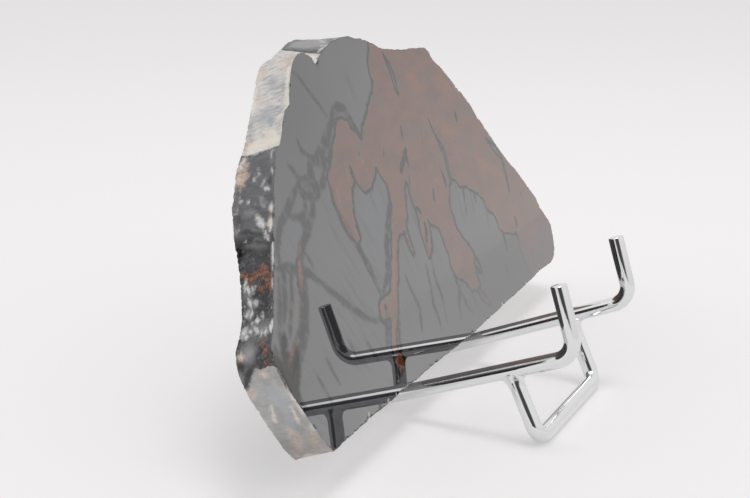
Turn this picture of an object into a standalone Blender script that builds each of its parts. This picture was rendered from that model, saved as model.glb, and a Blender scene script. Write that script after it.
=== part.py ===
"""Mahogany obsidian slab on a bent wire easel.

The easel is two pieces of plated round wire. The long one is bent into two prongs, two arms, two heels
and the loop that the slab leans on. The short one is the front foot, butt welded under the arms. The slab
is one flat piece of volcanic glass that stands on the arms and leans back on the loop.

Frame: +X to the right of someone facing the polished face, +Y to the back, +Z up, origin on the table under
the middle of the whole. Run with: blender --background --python part.py
"""
import math

import bmesh
import bpy
from mathutils import Matrix, Vector

MM = 0.001
GAP = 0.3 * MM                       # clearance left between two pieces that touch

# Easel wire
WIRE_R = 2.0 * MM
WIRE_SIDES_STEP = 4                  # bevel resolution: 4 + 2 x this is the number of sides
CRADLE_TURN = math.radians(15)       # turns the 12-sided section so that a flat faces the table
FOOT_TURN = math.radians(24.1)
BEND_STEP = math.radians(18)         # turn between two points of a bend

# Easel frame: origin midway between the two front corners, +Y back along the arms, +Z square to them
EASEL_AT = Vector((-10.74, -38.37, 23.44)) * MM
ARM_SLOPE = math.radians(21.2)       # the arms fall this much towards the back
ARM_HALF_SPACING = 22.7 * MM         # at the front corners
ARM_CLOSING = 0.026                  # each arm closes in by this much for each unit towards the back
CORNER_TWIST = 0.4 * MM              # right front corner stands this high, left one this low
CORNER_SKEW = 0.27 * MM              # right front corner lies this far forward, left one this far back
PRONG_LENGTH = 16.8 * MM             # from the corner to the cut end
PRONG_LEAN = math.radians(4.5)       # away from the slab
PRONG_BEND_R = 5.0 * MM
TABLE_BEND_R = 12.0 * MM             # where an arm turns level with the table
HEEL_REACH = 72.0 * MM               # level distance from the front corners to the heels
HEEL_BEND_R = 6.0 * MM

# Loop behind the slab, in the slab's frame
REST_HALF_WIDTH = 20.0 * MM
REST_HEIGHT = 40.0 * MM
REST_BEND_R = 6.0 * MM

# Front foot
WELD_BACK = 17.0 * MM                # from the front corners back to where the legs meet the arms
WELD_HALF_SPACING = 22.2 * MM
FOOT_DROP = 17.2 * MM                # from the arms down to the foot bar, square to the arms
FOOT_FORWARD = 1.9 * MM              # the foot bar lies this far in front of the welds
FOOT_HALF_WIDTH = 21.7 * MM
FOOT_SHIFT = -2.1 * MM               # the foot bar sits off centre by this much
FOOT_BEND_R = 3.2 * MM
WELD_GAP = 0.55 * MM                 # from the cut end of a leg to the underside of its arm

# Slab frame: origin on the polished face over the arms, +X along the slab, +Y into it, +Z up the face
SLAB_THICKNESS = 10.0 * MM
FACE_BACK = 42.15 * MM               # from the front corners back to the polished face
FACE_YAW = math.radians(2.1)
FACE_LEAN = math.radians(2.1)        # the top of the face comes forward of square to the arms

# Outline of the slab in millimetres, from the lower left corner anticlockwise as the face is seen
OUTLINE_MM = [
    (-69.0, 1.5), (-22.0, 2.45), (22.0, 2.45), (45.0, 3.4), (81.5, 4.7), (92.0, 4.7),      # sawn bottom
    (96.6, 5.9), (99.3, 8.2), (101.3, 11.8), (102.4, 15.5),                               # right corner
    (97.2, 22.4), (95.6, 26.2), (88.4, 33.8), (81.8, 39.8), (72.0, 50.3), (63.3, 61.0),   # right slope
    (52.9, 70.8), (45.8, 76.2), (44.4, 79.0), (41.8, 80.5),
    (26.7, 81.2), (16.5, 82.0), (12.6, 82.8), (8.6, 84.4), (3.5, 86.2), (-2.0, 88.2),     # broken top
    (-12.3, 89.8), (-19.6, 88.1), (-26.8, 86.0), (-32.3, 84.8),
    (-37.6, 81.2), (-42.4, 75.0), (-47.6, 71.0), (-52.0, 66.3),                           # sawn upper left
    (-56.0, 63.8), (-60.8, 58.2), (-65.4, 49.9), (-69.4, 42.6), (-72.4, 37.0),            # glassy break
    (-76.6, 31.2), (-79.8, 28.4), (-80.6, 25.8), (-79.4, 21.0),
    (-75.2, 12.4),                                                                        # sawn lower left
]

# Top left facet: a plane that starts on the face at this height and climbs towards the back
FACET_START_MM = (-18.0, 85.7)
FACET_TILT = math.radians(17)        # climb towards the back
FACET_ROLL = math.radians(4.6)       # climb towards the right
FACET_SPAN = 30.0 * MM

# Shell-shaped breaks: centre of the ball that bites (along, into, up) and its radius, in millimetres
BREAKS_MM = [
    ((-84.0, 8.5, 48.5), 17.5),
    ((-72.0, 2.0, 66.0), 13.0),
    ((-92.0, 4.0, 38.0), 17.0),
    ((-24.5, -2.5, 84.6), 3.6),
    ((-44.8, -1.2, 74.6), 2.4),
]
BALL_SEGMENTS = 24


def clear_scene():
    """Start from an empty file."""
    for old in list(bpy.data.objects):
        bpy.data.objects.remove(old)


def new_collection(name):
    collection = bpy.data.collections.new(name)
    bpy.context.scene.collection.children.link(collection)
    return collection


def finish(name, colour, roughness, metallic):
    """A Principled finish of one colour."""
    material = bpy.data.materials.new(name)
    material.use_nodes = True
    shader = material.node_tree.nodes["Principled BSDF"]
    shader.inputs["Base Color"].default_value = (*colour, 1.0)
    shader.inputs["Roughness"].default_value = roughness
    shader.inputs["Metallic"].default_value = metallic
    return material


def frame_empty(name, collection, parent, matrix):
    """An empty that carries the pieces of one frame."""
    empty = bpy.data.objects.new(name, None)
    collection.objects.link(empty)
    empty.parent = parent
    empty.matrix_local = matrix
    return empty


def rounded_path(corners, radii):
    """Points along straight runs joined by arcs: one radius for each inner corner."""
    points = [corners[0]]
    for before, corner, after, radius in zip(corners, corners[1:], corners[2:], radii):
        back = (before - corner).normalized()
        ahead = (after - corner).normalized()
        turn = math.pi - back.angle(ahead)
        start = corner + back * radius * math.tan(turn / 2)
        centre = corner + (back + ahead).normalized() * radius / math.cos(turn / 2)
        axis = ahead.cross(back).normalized()
        steps = max(2, round(turn / BEND_STEP))
        for step in range(steps + 1):
            swing = Matrix.Rotation(turn * step / steps, 3, axis)
            points.append(centre + swing @ (start - centre))
    points.append(corners[-1])
    return points


def bent_wire(name, path, section_turn, collection, parent, material):
    """A round wire along a path, with flat cut ends."""
    curve = bpy.data.curves.new(name, "CURVE")
    curve.dimensions = "3D"
    curve.bevel_depth = WIRE_R
    curve.bevel_resolution = WIRE_SIDES_STEP
    curve.use_fill_caps = True
    spline = curve.splines.new("POLY")
    spline.points.add(len(path) - 1)
    for point, place in zip(spline.points, path):
        point.co = (*place, 1.0)
        point.tilt = section_turn
    curve.materials.append(material)
    wire = bpy.data.objects.new(name, curve)
    collection.objects.link(wire)
    wire.parent = parent
    return wire


def flat_slab(name, outline, thickness, collection, parent, material):
    """A flat piece: the outline stands on edge, its front at y = 0 and its back at y = thickness."""
    curve = bpy.data.curves.new(name + "_outline", "CURVE")
    curve.dimensions = "2D"
    curve.fill_mode = "BOTH"
    curve.extrude = thickness / 2
    spline = curve.splines.new("POLY")
    spline.points.add(len(outline) - 1)
    for point, (along, up) in zip(spline.points, outline):
        point.co = (along, up, 0.0, 1.0)
    spline.use_cyclic_u = True
    guide = bpy.data.objects.new(name + "_outline", curve)
    collection.objects.link(guide)
    bpy.context.view_layer.update()
    mesh = bpy.data.meshes.new_from_object(guide.evaluated_get(bpy.context.evaluated_depsgraph_get()))
    bpy.data.objects.remove(guide)
    mesh.name = name
    mesh.transform(Matrix.Translation((0, thickness / 2, 0)) @ Matrix.Rotation(math.pi / 2, 4, "X"))
    work = bmesh.new()
    work.from_mesh(mesh)
    bmesh.ops.remove_doubles(work, verts=work.verts, dist=0.00001)
    bmesh.ops.recalc_face_normals(work, faces=work.faces)
    work.to_mesh(mesh)
    work.free()
    mesh.materials.clear()
    mesh.materials.append(material)
    slab = bpy.data.objects.new(name, mesh)
    collection.objects.link(slab)
    slab.parent = parent
    return slab


def cutter(name, mesh_work, collection, parent, matrix):
    """A hidden solid that cuts the slab."""
    mesh = bpy.data.meshes.new(name)
    bmesh.ops.transform(mesh_work, matrix=matrix, verts=mesh_work.verts)
    mesh_work.to_mesh(mesh)
    mesh_work.free()
    tool = bpy.data.objects.new(name, mesh)
    collection.objects.link(tool)
    tool.parent = parent
    tool.hide_render = True
    tool.display_type = "WIRE"
    return tool


def cut(piece, tool):
    difference = piece.modifiers.new(tool.name, "BOOLEAN")
    difference.operation = "DIFFERENCE"
    difference.object = tool


def ball_cutter(name, centre, radius, collection, parent):
    work = bmesh.new()
    bmesh.ops.create_uvsphere(work, u_segments=BALL_SEGMENTS, v_segments=BALL_SEGMENTS // 2, radius=radius)
    return cutter(name, work, collection, parent, Matrix.Translation(centre))


def facet_cutter(name, collection, parent):
    """A box whose underside is the top left facet."""
    work = bmesh.new()
    bmesh.ops.create_cube(work, size=1.0)
    size = Matrix.Diagonal((FACET_SPAN * 2, FACET_SPAN * 2, FACET_SPAN, 1.0))
    lift = Matrix.Translation((0, 0, FACET_SPAN / 2))
    turn = Matrix.Rotation(FACET_TILT, 4, "X") @ Matrix.Rotation(-FACET_ROLL, 4, "Y")
    along, up = FACET_START_MM
    place = Matrix.Translation((along * MM, 0, up * MM))
    return cutter(name, work, collection, parent, place @ turn @ lift @ size)


def cradle_corners(easel_turn, slab_place):
    """Corners of the long wire, from the right prong's end to the left prong's end, in the easel's frame."""
    table_level = (easel_turn @ foot_corner(1)).z
    to_easel = easel_turn.inverted()
    sides = {}
    for side in (1, -1):
        corner = Vector((side * ARM_HALF_SPACING, -side * CORNER_SKEW, side * CORNER_TWIST))
        prong = Vector((0, -math.sin(PRONG_LEAN), math.cos(PRONG_LEAN)))
        tip = corner + prong * PRONG_LENGTH
        landing = Vector((0, -table_level / math.tan(ARM_SLOPE), table_level))
        heel = Vector((0, HEEL_REACH, table_level))
        inset = side * (ARM_HALF_SPACING - ARM_CLOSING * landing.length)
        landing.x = inset
        heel.x = inset
        rest = slab_place @ Vector((side * REST_HALF_WIDTH, SLAB_THICKNESS + GAP + WIRE_R, REST_HEIGHT))
        sides[side] = [tip, corner, to_easel @ landing, to_easel @ heel, rest]
    return sides[1] + sides[-1][::-1]


def foot_corner(side):
    """Where a leg turns into the foot bar, in the easel's frame."""
    return Vector((FOOT_SHIFT + side * FOOT_HALF_WIDTH, WELD_BACK - FOOT_FORWARD, -FOOT_DROP))


def foot_corners(landing_back):
    """Corners of the short wire, from under the right arm to under the left arm."""
    ends = []
    for side in (1, -1):
        arm_height = side * CORNER_TWIST * (1 - WELD_BACK / landing_back)
        weld = Vector((side * WELD_HALF_SPACING, WELD_BACK, arm_height))
        leg = foot_corner(side) - weld
        ends.append(weld + leg * (WIRE_R + WELD_GAP) / abs(leg.z))
    return [ends[0], foot_corner(1), foot_corner(-1), ends[1]]


def main():
    clear_scene()
    pieces = new_collection("mahogany_obsidian_slab")
    cutters = new_collection("cutters")
    plated = finish("plated_wire", (0.80, 0.80, 0.82), 0.08, 1.0)
    obsidian = finish("mahogany_obsidian", (0.055, 0.035, 0.030), 0.06, 0.0)

    easel_turn = Matrix.Rotation(-ARM_SLOPE, 4, "X")
    face_turn = Matrix.Rotation(FACE_YAW, 4, "Z") @ Matrix.Rotation(FACE_LEAN, 4, "X")
    slab_place = Matrix.Translation((0, FACE_BACK, 0)) @ face_turn
    easel = frame_empty("easel_frame", pieces, None, Matrix.Translation(EASEL_AT) @ easel_turn)
    face = frame_empty("slab_frame", pieces, easel, slab_place)

    cradle_radii = [PRONG_BEND_R, TABLE_BEND_R, HEEL_BEND_R, REST_BEND_R]
    corners = cradle_corners(easel_turn, slab_place)
    cradle_path = rounded_path(corners, cradle_radii + cradle_radii[::-1])
    bent_wire("cradle_wire", cradle_path, CRADLE_TURN, pieces, easel, plated)
    foot_path = rounded_path(foot_corners(corners[2].y), [FOOT_BEND_R, FOOT_BEND_R])
    bent_wire("front_foot", foot_path, FOOT_TURN, pieces, easel, plated)

    outline = [(along * MM, up * MM) for along, up in OUTLINE_MM]
    slab = flat_slab("obsidian_slab", outline, SLAB_THICKNESS, pieces, face, obsidian)
    cut(slab, facet_cutter("top_facet", cutters, face))
    for number, (centre, radius) in enumerate(BREAKS_MM):
        tool = ball_cutter(f"break_{number}", Vector(centre) * MM, radius * MM, cutters, face)
        cut(slab, tool)


main()
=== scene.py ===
import itertools
import math

import bmesh
import bpy
import numpy as np
from mathutils import Matrix, Vector, geometry, kdtree


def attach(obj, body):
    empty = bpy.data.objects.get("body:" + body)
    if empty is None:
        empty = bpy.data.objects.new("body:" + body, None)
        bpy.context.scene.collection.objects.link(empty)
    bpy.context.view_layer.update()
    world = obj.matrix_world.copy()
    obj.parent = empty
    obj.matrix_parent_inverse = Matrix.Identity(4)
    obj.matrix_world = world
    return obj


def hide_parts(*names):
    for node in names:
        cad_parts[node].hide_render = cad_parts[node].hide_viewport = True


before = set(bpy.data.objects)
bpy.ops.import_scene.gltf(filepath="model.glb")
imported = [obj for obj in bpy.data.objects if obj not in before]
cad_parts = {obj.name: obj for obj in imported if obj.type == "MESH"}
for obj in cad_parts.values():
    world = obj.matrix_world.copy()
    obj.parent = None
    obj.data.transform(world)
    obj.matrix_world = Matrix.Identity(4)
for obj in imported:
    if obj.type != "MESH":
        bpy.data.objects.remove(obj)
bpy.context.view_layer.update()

# ------------------------------------------------------------------------------------------------
# Camera. It stands to the left of the easel, a hand above the table, and looks along the polished
# face at a shallow angle.
# ------------------------------------------------------------------------------------------------
MM = 0.001
CAMERA_AT = Vector((-294.78, -116.31, 118.03)) * MM
CAMERA_HEADING = math.radians(63.8)      # from straight back round to the right
CAMERA_DIP = math.radians(14.6)
CAMERA_LENS_MM = 60.6

camera = bpy.data.objects.new("camera", bpy.data.cameras.new("camera"))
bpy.context.scene.collection.objects.link(camera)
camera.location = CAMERA_AT
camera.rotation_euler = (math.radians(90) - CAMERA_DIP, 0, -CAMERA_HEADING)
camera.data.lens = CAMERA_LENS_MM
camera.data.clip_start = 10 * MM
bpy.context.scene.camera = camera
bpy.context.scene.view_settings.view_transform = "Standard"

# ------------------------------------------------------------------------------------------------
# Table and light. A pale table, lit a little from below, stands inside a white tent with a dark
# opening for the camera and a softbox high on the left. A key light hangs overhead. On the right a
# bright card slopes up from the table: only the slab mirrors it.
# ------------------------------------------------------------------------------------------------
TABLE_RADIUS = 4.0
TABLE_COLOUR = (0.80, 0.79, 0.792)
TABLE_GLOW = 0.28
TENT_COLOUR = (1.0, 0.99, 0.992)
TENT_GLOW_LEFT, TENT_GLOW_RIGHT = 0.94, 0.36   # what lights the matt things
TENT_MIRRORED_LOW, TENT_MIRRORED_HIGH = 0.815, 0.90   # at the table's edge and 20 degrees up
TENT_HIGH_AT = 0.34                      # height of that upper place on a dome of radius 1
TENT_SEEN = 0.845
SOFTBOX_TOWARDS = Vector((-0.45, -0.03, 0.89))   # mirrored in the wire
SOFTBOX_GLOW = 6.2
SOFTBOX_EDGE, SOFTBOX_FADE = math.radians(15), math.radians(18)
OPENING_GLOW = 0.07
OPENING_WIDTH = math.radians(17)         # half angle of the fully dark part
OPENING_EDGE = math.radians(33)          # half angle where the tent is white again
EASEL_MIDDLE_HEIGHT = 40 * MM
TOP_LIGHT_AT = Vector((-0.03, -0.10, 1.0))
TOP_LIGHT_SIZE = 0.34
TOP_LIGHT_WATTS = 1.8
CARD_HEADING = math.radians(113)         # from straight back round to the right
CARD_START, CARD_END = 0.06, 0.66        # level distance from the middle of the object
CARD_RISE = math.radians(30)
CARD_WIDTH = 0.9
CARD_GLOW_LEFT, CARD_GLOW_RIGHT = 1.44, 0.36
CARD_EDGE_REACH = 0.06                   # its glow changes within this far of its middle


def new_material(name):
    """A material with an empty tree, and that tree."""
    material = bpy.data.materials.new(name)
    material.use_nodes = True
    material.node_tree.nodes.clear()
    return material, material.node_tree


def add_node(tree, kind, settings=None, **inputs):
    """A node with its settings, and its inputs by name or by number, such as in0: linked or set."""
    node = tree.nodes.new(kind)
    for key, value in (settings or {}).items():
        setattr(node, key, value)
    for key, value in inputs.items():
        socket = node.inputs[int(key[2:]) if key[2:].isdigit() else key.replace("_", " ")]
        value = getattr(value, "socket", value)
        if isinstance(value, bpy.types.NodeSocket):
            tree.links.new(value, socket)
        else:
            socket.default_value = (*value, 1) if socket.type == "RGBA" else value
    return node


class Signal:
    """A number, colour or place that changes over a surface or round the tent."""

    def __init__(self, tree, socket):
        self.tree, self.socket = tree, socket

    def calculate(self, operation, other, third=0.0):
        """One step of arithmetic."""
        settings = {"operation": operation}
        return signal(self.tree, "ShaderNodeMath", 0, settings, in0=self, in1=other, in2=third)

    def __add__(self, other):
        return self.calculate("ADD", other)

    def __sub__(self, other):
        return self.calculate("SUBTRACT", other)

    def __mul__(self, other):
        return self.calculate("MULTIPLY", other)

    def most(self, other):
        """The larger of two."""
        return self.calculate("MAXIMUM", other)

    def rest(self):
        """What it lacks of one."""
        return self.calculate("MULTIPLY_ADD", -1.0, 1.0)

    def ramp(self, low, high, to_low=0.0, to_high=1.0, course="SMOOTHSTEP"):
        """A step from one level to another."""
        return signal(self.tree, "ShaderNodeMapRange", 0, {"interpolation_type": course}, Value=self,
                      From_Min=low, From_Max=high, To_Min=to_low, To_Max=to_high)

    def choose(self, first, second):
        """The first number where this is 0 and the second where it is 1."""
        settings = {"data_type": "FLOAT"}
        return signal(self.tree, "ShaderNodeMix", 0, settings, in0=self, in2=first, in3=second)

    def along(self, way):
        """How far a place lies in a direction."""
        settings = {"operation": "DOT_PRODUCT"}
        return signal(self.tree, "ShaderNodeVectorMath", "Value", settings, in0=self, in1=way)

    def part(self, axis):
        """One coordinate of a place."""
        return signal(self.tree, "ShaderNodeSeparateXYZ", axis, Vector=self)

    def bump(self, strength, depth):
        """The surface's slope where this is its fine relief."""
        return signal(self.tree, "ShaderNodeBump", 0, Strength=strength, Distance=depth, Height=self)


def signal(tree, kind, output, settings=None, **inputs):
    """One output of a new node."""
    return Signal(tree, add_node(tree, kind, settings, **inputs).outputs[output])


def join_output(tree, shader, kind="ShaderNodeOutputMaterial"):
    """Ends a tree with its output."""
    tree.links.new(shader.outputs[0], tree.nodes.new(kind).inputs["Surface"])


def principled(tree, **inputs):
    """Ends a material's tree with the Principled shader."""
    join_output(tree, add_node(tree, "ShaderNodeBsdfPrincipled", **inputs))


def object_from_mesh(name, mesh, material):
    """A new object at the origin for this mesh."""
    mesh.name = name
    mesh.materials.clear()
    mesh.materials.append(material)
    piece = bpy.data.objects.new(name, mesh)
    bpy.context.scene.collection.objects.link(piece)
    return piece


table_finish, tree = new_material("pale_table")
principled(tree, Base_Color=TABLE_COLOUR, Roughness=0.9, Specular_IOR_Level=0.0,
           Emission_Color=TENT_COLOUR, Emission_Strength=TABLE_GLOW)
table_work = bmesh.new()
bmesh.ops.create_circle(table_work, cap_ends=True, segments=96, radius=TABLE_RADIUS)
table_mesh = bpy.data.meshes.new("table")
table_work.to_mesh(table_mesh)
table_work.free()
table = object_from_mesh("table", table_mesh, table_finish)

tent = bpy.data.worlds.new("tent")
bpy.context.scene.world = tent
tent.use_nodes = True
tree = tent.node_tree
tree.nodes.clear()
towards_camera = (CAMERA_AT - Vector((0, 0, EASEL_MIDDLE_HEIGHT))).normalized()
direction = signal(tree, "ShaderNodeTexCoord", "Generated")
opening = direction.along(towards_camera).ramp(math.cos(OPENING_EDGE), math.cos(OPENING_WIDTH), 1.0, 0.0)
softbox = direction.along(SOFTBOX_TOWARDS.normalized()).ramp(
    math.cos(SOFTBOX_FADE), math.cos(SOFTBOX_EDGE), 0.0, SOFTBOX_GLOW, "LINEAR")
mirrored = direction.part("Z").ramp(0.0, TENT_HIGH_AT, TENT_MIRRORED_LOW, TENT_MIRRORED_HIGH, "LINEAR")
spread = direction.part("X").ramp(-1.0, 1.0, TENT_GLOW_LEFT, TENT_GLOW_RIGHT, "LINEAR")
bright = signal(tree, "ShaderNodeLightPath", "Is Glossy Ray").choose(spread, mirrored.most(softbox))
bright = opening.choose(OPENING_GLOW, bright)
seen = signal(tree, "ShaderNodeLightPath", "Is Camera Ray").choose(bright, TENT_SEEN)
glow = add_node(tree, "ShaderNodeBackground", Color=TENT_COLOUR, Strength=seen)
join_output(tree, glow, "ShaderNodeOutputWorld")


def area_light(name, place, aim, size, watts):
    """A rectangular light that the camera doesn't see. Its second size runs up."""
    light = bpy.data.lights.new(name, "AREA")
    light.shape = "RECTANGLE"
    light.size, light.size_y = size
    light.energy = watts
    lamp = bpy.data.objects.new(name, light)
    bpy.context.scene.collection.objects.link(lamp)
    lamp.location = place
    lamp.rotation_euler = (Vector(aim) - place).to_track_quat("-Z", "Y").to_euler()
    lamp.visible_camera = False
    return lamp


top_light = area_light("top_light", TOP_LIGHT_AT, (0, 0, 0), [TOP_LIGHT_SIZE] * 2, TOP_LIGHT_WATTS)
top_light.visible_glossy = False

card_out = Vector((math.sin(CARD_HEADING), math.cos(CARD_HEADING), 0))
card_across = Vector((card_out.y, -card_out.x, 0))
card_length = (CARD_END - CARD_START) / math.cos(CARD_RISE)
card_place = card_out * (CARD_START + CARD_END) / 2
card_place.z = card_length * math.sin(CARD_RISE) / 2 - MM
card_normal = Vector((0, 0, math.cos(CARD_RISE))) - card_out * math.sin(CARD_RISE)
card = area_light("side_card", card_place, card_place + card_normal, (CARD_WIDTH, card_length),
                  math.pi * CARD_WIDTH * card_length)
card.visible_diffuse = False
card.data.use_nodes = True
tree = card.data.node_tree
tree.nodes.clear()
sideways = signal(tree, "ShaderNodeNewGeometry", "Position").along(card_across).ramp(
    -CARD_EDGE_REACH, CARD_EDGE_REACH, CARD_GLOW_RIGHT, CARD_GLOW_LEFT, "LINEAR")
glow = add_node(tree, "ShaderNodeEmission", Color=TENT_COLOUR, Strength=sideways)
join_output(tree, glow, "ShaderNodeOutputLight")
mirrors_card = bpy.data.collections.new("mirrors_card")
card.light_linking.receiver_collection = mirrors_card

# ------------------------------------------------------------------------------------------------
# Slab, shape. One piece of volcanic glass, sawn across, with one side ground flat and polished. Its
# left side is part sawn and part broken: shell-shaped hollows where flakes came off. The worked
# edges are finely chipped. Lengths in millimetres: along the slab, into it, up the face.
# ------------------------------------------------------------------------------------------------
EASEL_AT_MM = (-10.74, -38.37, 23.44)    # midway between the two front corners of the long wire
ARM_SLOPE = math.radians(21.2)
FACE_BACK_MM = 42.15
FACE_YAW = math.radians(2.1)
FACE_LEAN = math.radians(2.1)
THICKNESS = 10.0

# Rim, clockwise as the face is seen, from the lower left corner: along and up at the face, then
# along and up at the back where that differs
RIM = [
    (-69, 1.7, -68.6, 1.1), (-71.2, 4.7, -71.5, 4.8), (-73, 8, -73, 8), (-74.7, 11.4, -74.8, 11.5),
    (-76.3, 14.7, -76.2, 14.9), (-77.7, 17.6, -77.6, 18), (-79, 20.8, -78.5, 20.9),
    (-80, 24.4, -78.8, 23.8), (-80.3, 26.2, -78.5, 26), (-79.3, 28.6, -77.3, 28.5),
    (-76.9, 31.1, -74, 31.1), (-75.2, 33.8, -72, 33.3), (-73.5, 36.5, -70.2, 36.3),
    (-72, 38.6, -68.5, 39.5), (-69.7, 42, -67.5, 42.5), (-67.5, 45.8, -66.6, 45.3),
    (-65.3, 49.6, -65.2, 50), (-62.9, 53.5, -63.7, 53.8), (-60.8, 56.5, -62.3, 56.4),
    (-58.8, 59.3, -59.6, 59.3), (-55.9, 63.3, -57, 62.6), (-54.6, 65.3, -54, 65), (-52, 66.2, -52, 66.4),
    (-49.5, 69, -49, 69.1), (-47.6, 71, -46.9, 71), (-45.4, 73, -44.8, 73), (-42.8, 73.8, -43.6, 74.2),
    (-41.6, 76, -41.8, 76.1), (-39.1, 79.2, -39, 78.8), (-37.3, 81.3, -37.1, 81.1),
    (-34.7, 83.4, -34.4, 83.4), (-32, 84.6, -32.3, 84.8), (-28.9, 84.8, -28.6, 85.6),
    (-27, 83.9, -26.8, 86), (-25.5, 83.1, -24.5, 86.6), (-24, 82.2, -22.8, 87.1),
    (-22.4, 83.1, -21, 87.7), (-19.3, 84.6, -19, 88.5), (-15.5, 85.6, -16.3, 89.3),
    (-12.6, 86.6, -12.3, 89.8), (-8, 86.9, -7.8, 89.4), (-3.4, 87, -3, 88.7), (-0.1, 86.2, 0.4, 87.6),
    (4.1, 85.8, 4.5, 86.5), (8.7, 84.3, 8.9, 84.6), (12.6, 82.7, 12.7, 82.9), (16.5, 82), (26.7, 81.2),
    (35.6, 80.9), (41.8, 80.4), (44, 79.3), (44.7, 77.2), (46, 75.9), (49.2, 74.2), (52.9, 70.8),
    (59.1, 65.3), (63.3, 61.2), (65.5, 57.5), (67.5, 55.7), (72, 50.3), (76.6, 44.9), (81.8, 39.8),
    (84.2, 38.1), (88.4, 33.8), (92.7, 29.4), (95.6, 26.1), (97, 22.5), (101.2, 17.6), (102.2, 15.5),
    (101.1, 11.7), (99.2, 8), (96.5, 5.9), (91.9, 4.75), (81.3, 5), (71.3, 4.5), (58.8, 3.9), (45.6, 3.6),
    (31.5, 3.1), (16.2, 2.6), (-16.2, 2.6), (-41.3, 2.3), (-61.2, 1.9),
]
RIM_STEP = 0.05
RIM_SOFTNESS = 0.3                       # how far the rim's corners are rounded
COLUMN_STEP, LEFT_COLUMN_STEP = 0.36, 0.21   # mesh spacing along the rim, and along its left side
ROW_DEPTHS = np.concatenate([[0, 0.08, 0.2, 0.36, 0.56, 0.8, 1.08, 1.4, 1.74],
                             np.linspace(2.05, 8.95, 24), [9.25, 9.55, 9.8, 10.0]])
FACE_STEP = 0.68                         # mesh spacing on the polished face
BACK_STEP = 1.5
INSETS = (0.16, 0.36, 0.62)              # rings of points just inside the rim of the face
RING_CLEARANCE, GRID_CLEARANCE = 0.85, 0.6   # least gaps between them, in insets and in steps

# Shell-shaped hollows on the left side: height, depth into the slab, half height, half width, depth
HOLLOWS = [
    (61.6, 4.6, 4.6, 6.2, 0.75), (57.2, 8.4, 3.4, 3.4, 0.5), (53.2, 2.3, 4.6, 3.6, 0.8),
    (52.6, 8.6, 2.6, 4, 0.6), (44.4, 5.6, 4.6, 6.4, 1.3), (40.2, 4, 2.2, 2.4, 0.7),
    (36, 3.4, 3.8, 3.2, 1.1), (34.6, 8.4, 3.2, 2, 0.6), (31.2, 6, 2, 3.2, 0.5),
    (24.2, 4.6, 1.1, 5.4, 0.55), (21.4, 0.4, 3.8, 1.3, 0.5),
]
RIPPLE_DEPTH = 0.035                     # for each unit of a hollow's depth
RIPPLE_CROWDING = 5.2
SAWN_ABOVE, SAWN_BELOW = 66.1, 24.2      # between these heights the left side is broken
BREAK_SLANT, BREAK_SLANT_START = 1.05, 6.2   # the break reaches lower beyond this depth
DISHED_AT, DISHED_HALF_HEIGHT, DISHED_DEPTH = 68.4, 1.5, 0.55   # where the upper sawn part dips
EDGE_SINK, EDGE_REACH = 0.30, 1.2        # share of the relief at the worked edges, and their depth
LEFT_SIDE_ENDS = -21.0                   # the left side ends here at the top, further left lower down
LEFT_SIDE_TOP, LEFT_SIDE_SLANT = 82, 0.55
# Smaller flake scars strewn over the broken part: how many, smallest and largest half size, depth for
# each unit of half size, lowest and highest
FLAKE_SCARS = [
    (24, 2, 4, 0.17, 47, 66), (70, 0.8, 1.8, 0.16, 46.5, 66), (90, 0.6, 1.4, 0.28, 29, 40.5),
    (150, 0.3, 0.7, 0.18, 28.5, 65.8),
]
SCAR_LIMITS = ((0.5, 0.95), (0.6, 1.2))  # squeeze across, and share of that depth

# Chips along the face's rim that stand out: along, up, radius
LARGE_CHIPS = [
    (-24, 82.4, 1.5), (-44, 74.4, 1.1), (-43.2, 73.6, 0.9), (81.5, 5, 1.2), (42.5, 3.6, 1),
    (26.5, 3, 0.9), (16.5, 2.6, 0.9), (0.5, 2.6, 0.8), (-27, 2.4, 0.8), (-51, 2.2, 0.9),
    (96.6, 22.8, 0.7), (66.4, 56.8, 0.6), (-80.4, 26.8, 0.9), (-74.6, 34.6, 0.8), (-66.4, 47.8, 0.7),
    (-61.8, 55.2, 0.8), (83.4, 38.8, 0.6), (1.2, 86.2, 0.5), (9.8, 84, 0.55), (13.5, 82.6, 0.4),
    (33.6, 81, 0.5), (35.4, 80.9, 0.5), (37.2, 80.8, 0.55), (39, 80.6, 0.5), (40.6, 80.5, 0.6),
    (59.8, 64.6, 0.7), (75, 46.8, 0.6), (91, 31, 0.7), (79.7, 5, 1.3), (41.9, 3.6, 1.2), (28.9, 3.1, 1.1),
    (16.9, 2.7, 1.3), (-0.1, 2.7, 1.2), (-10.4, 2.7, 1.2), (-27.3, 2.6, 1.1), (-39.2, 2.4, 1.3),
    (-42.8, 2.3, 1), (-50, 2.1, 1.5), (-58, 2, 0.9), (56, 3.9, 0.9), (66, 4.3, 1), (89, 4.8, 0.9),
]
CHIP_SPACING = 0.62
CHIP_RADII = (0.12, 0.46)
FLAKE_SPACING = 3.4                      # between the larger flakes along the rim
FLAKE_RADII = (0.4, 1.15)
CHIP_REACH = 2.5                         # no chip reaches further into the slab
CHIP_OFFSET, CHIP_LIFT = (0.35, 0.75), (0.3, 0.7)   # its ball's middle off the edge, in radii

easel_turn = Matrix.Rotation(-ARM_SLOPE, 4, "X")
easel_place = Matrix.Translation(EASEL_AT_MM) @ easel_turn
face_turn = Matrix.Rotation(FACE_YAW, 4, "Z") @ Matrix.Rotation(FACE_LEAN, 4, "X")
slab_in_easel = Matrix.Translation((0, FACE_BACK_MM, 0)) @ face_turn


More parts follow.
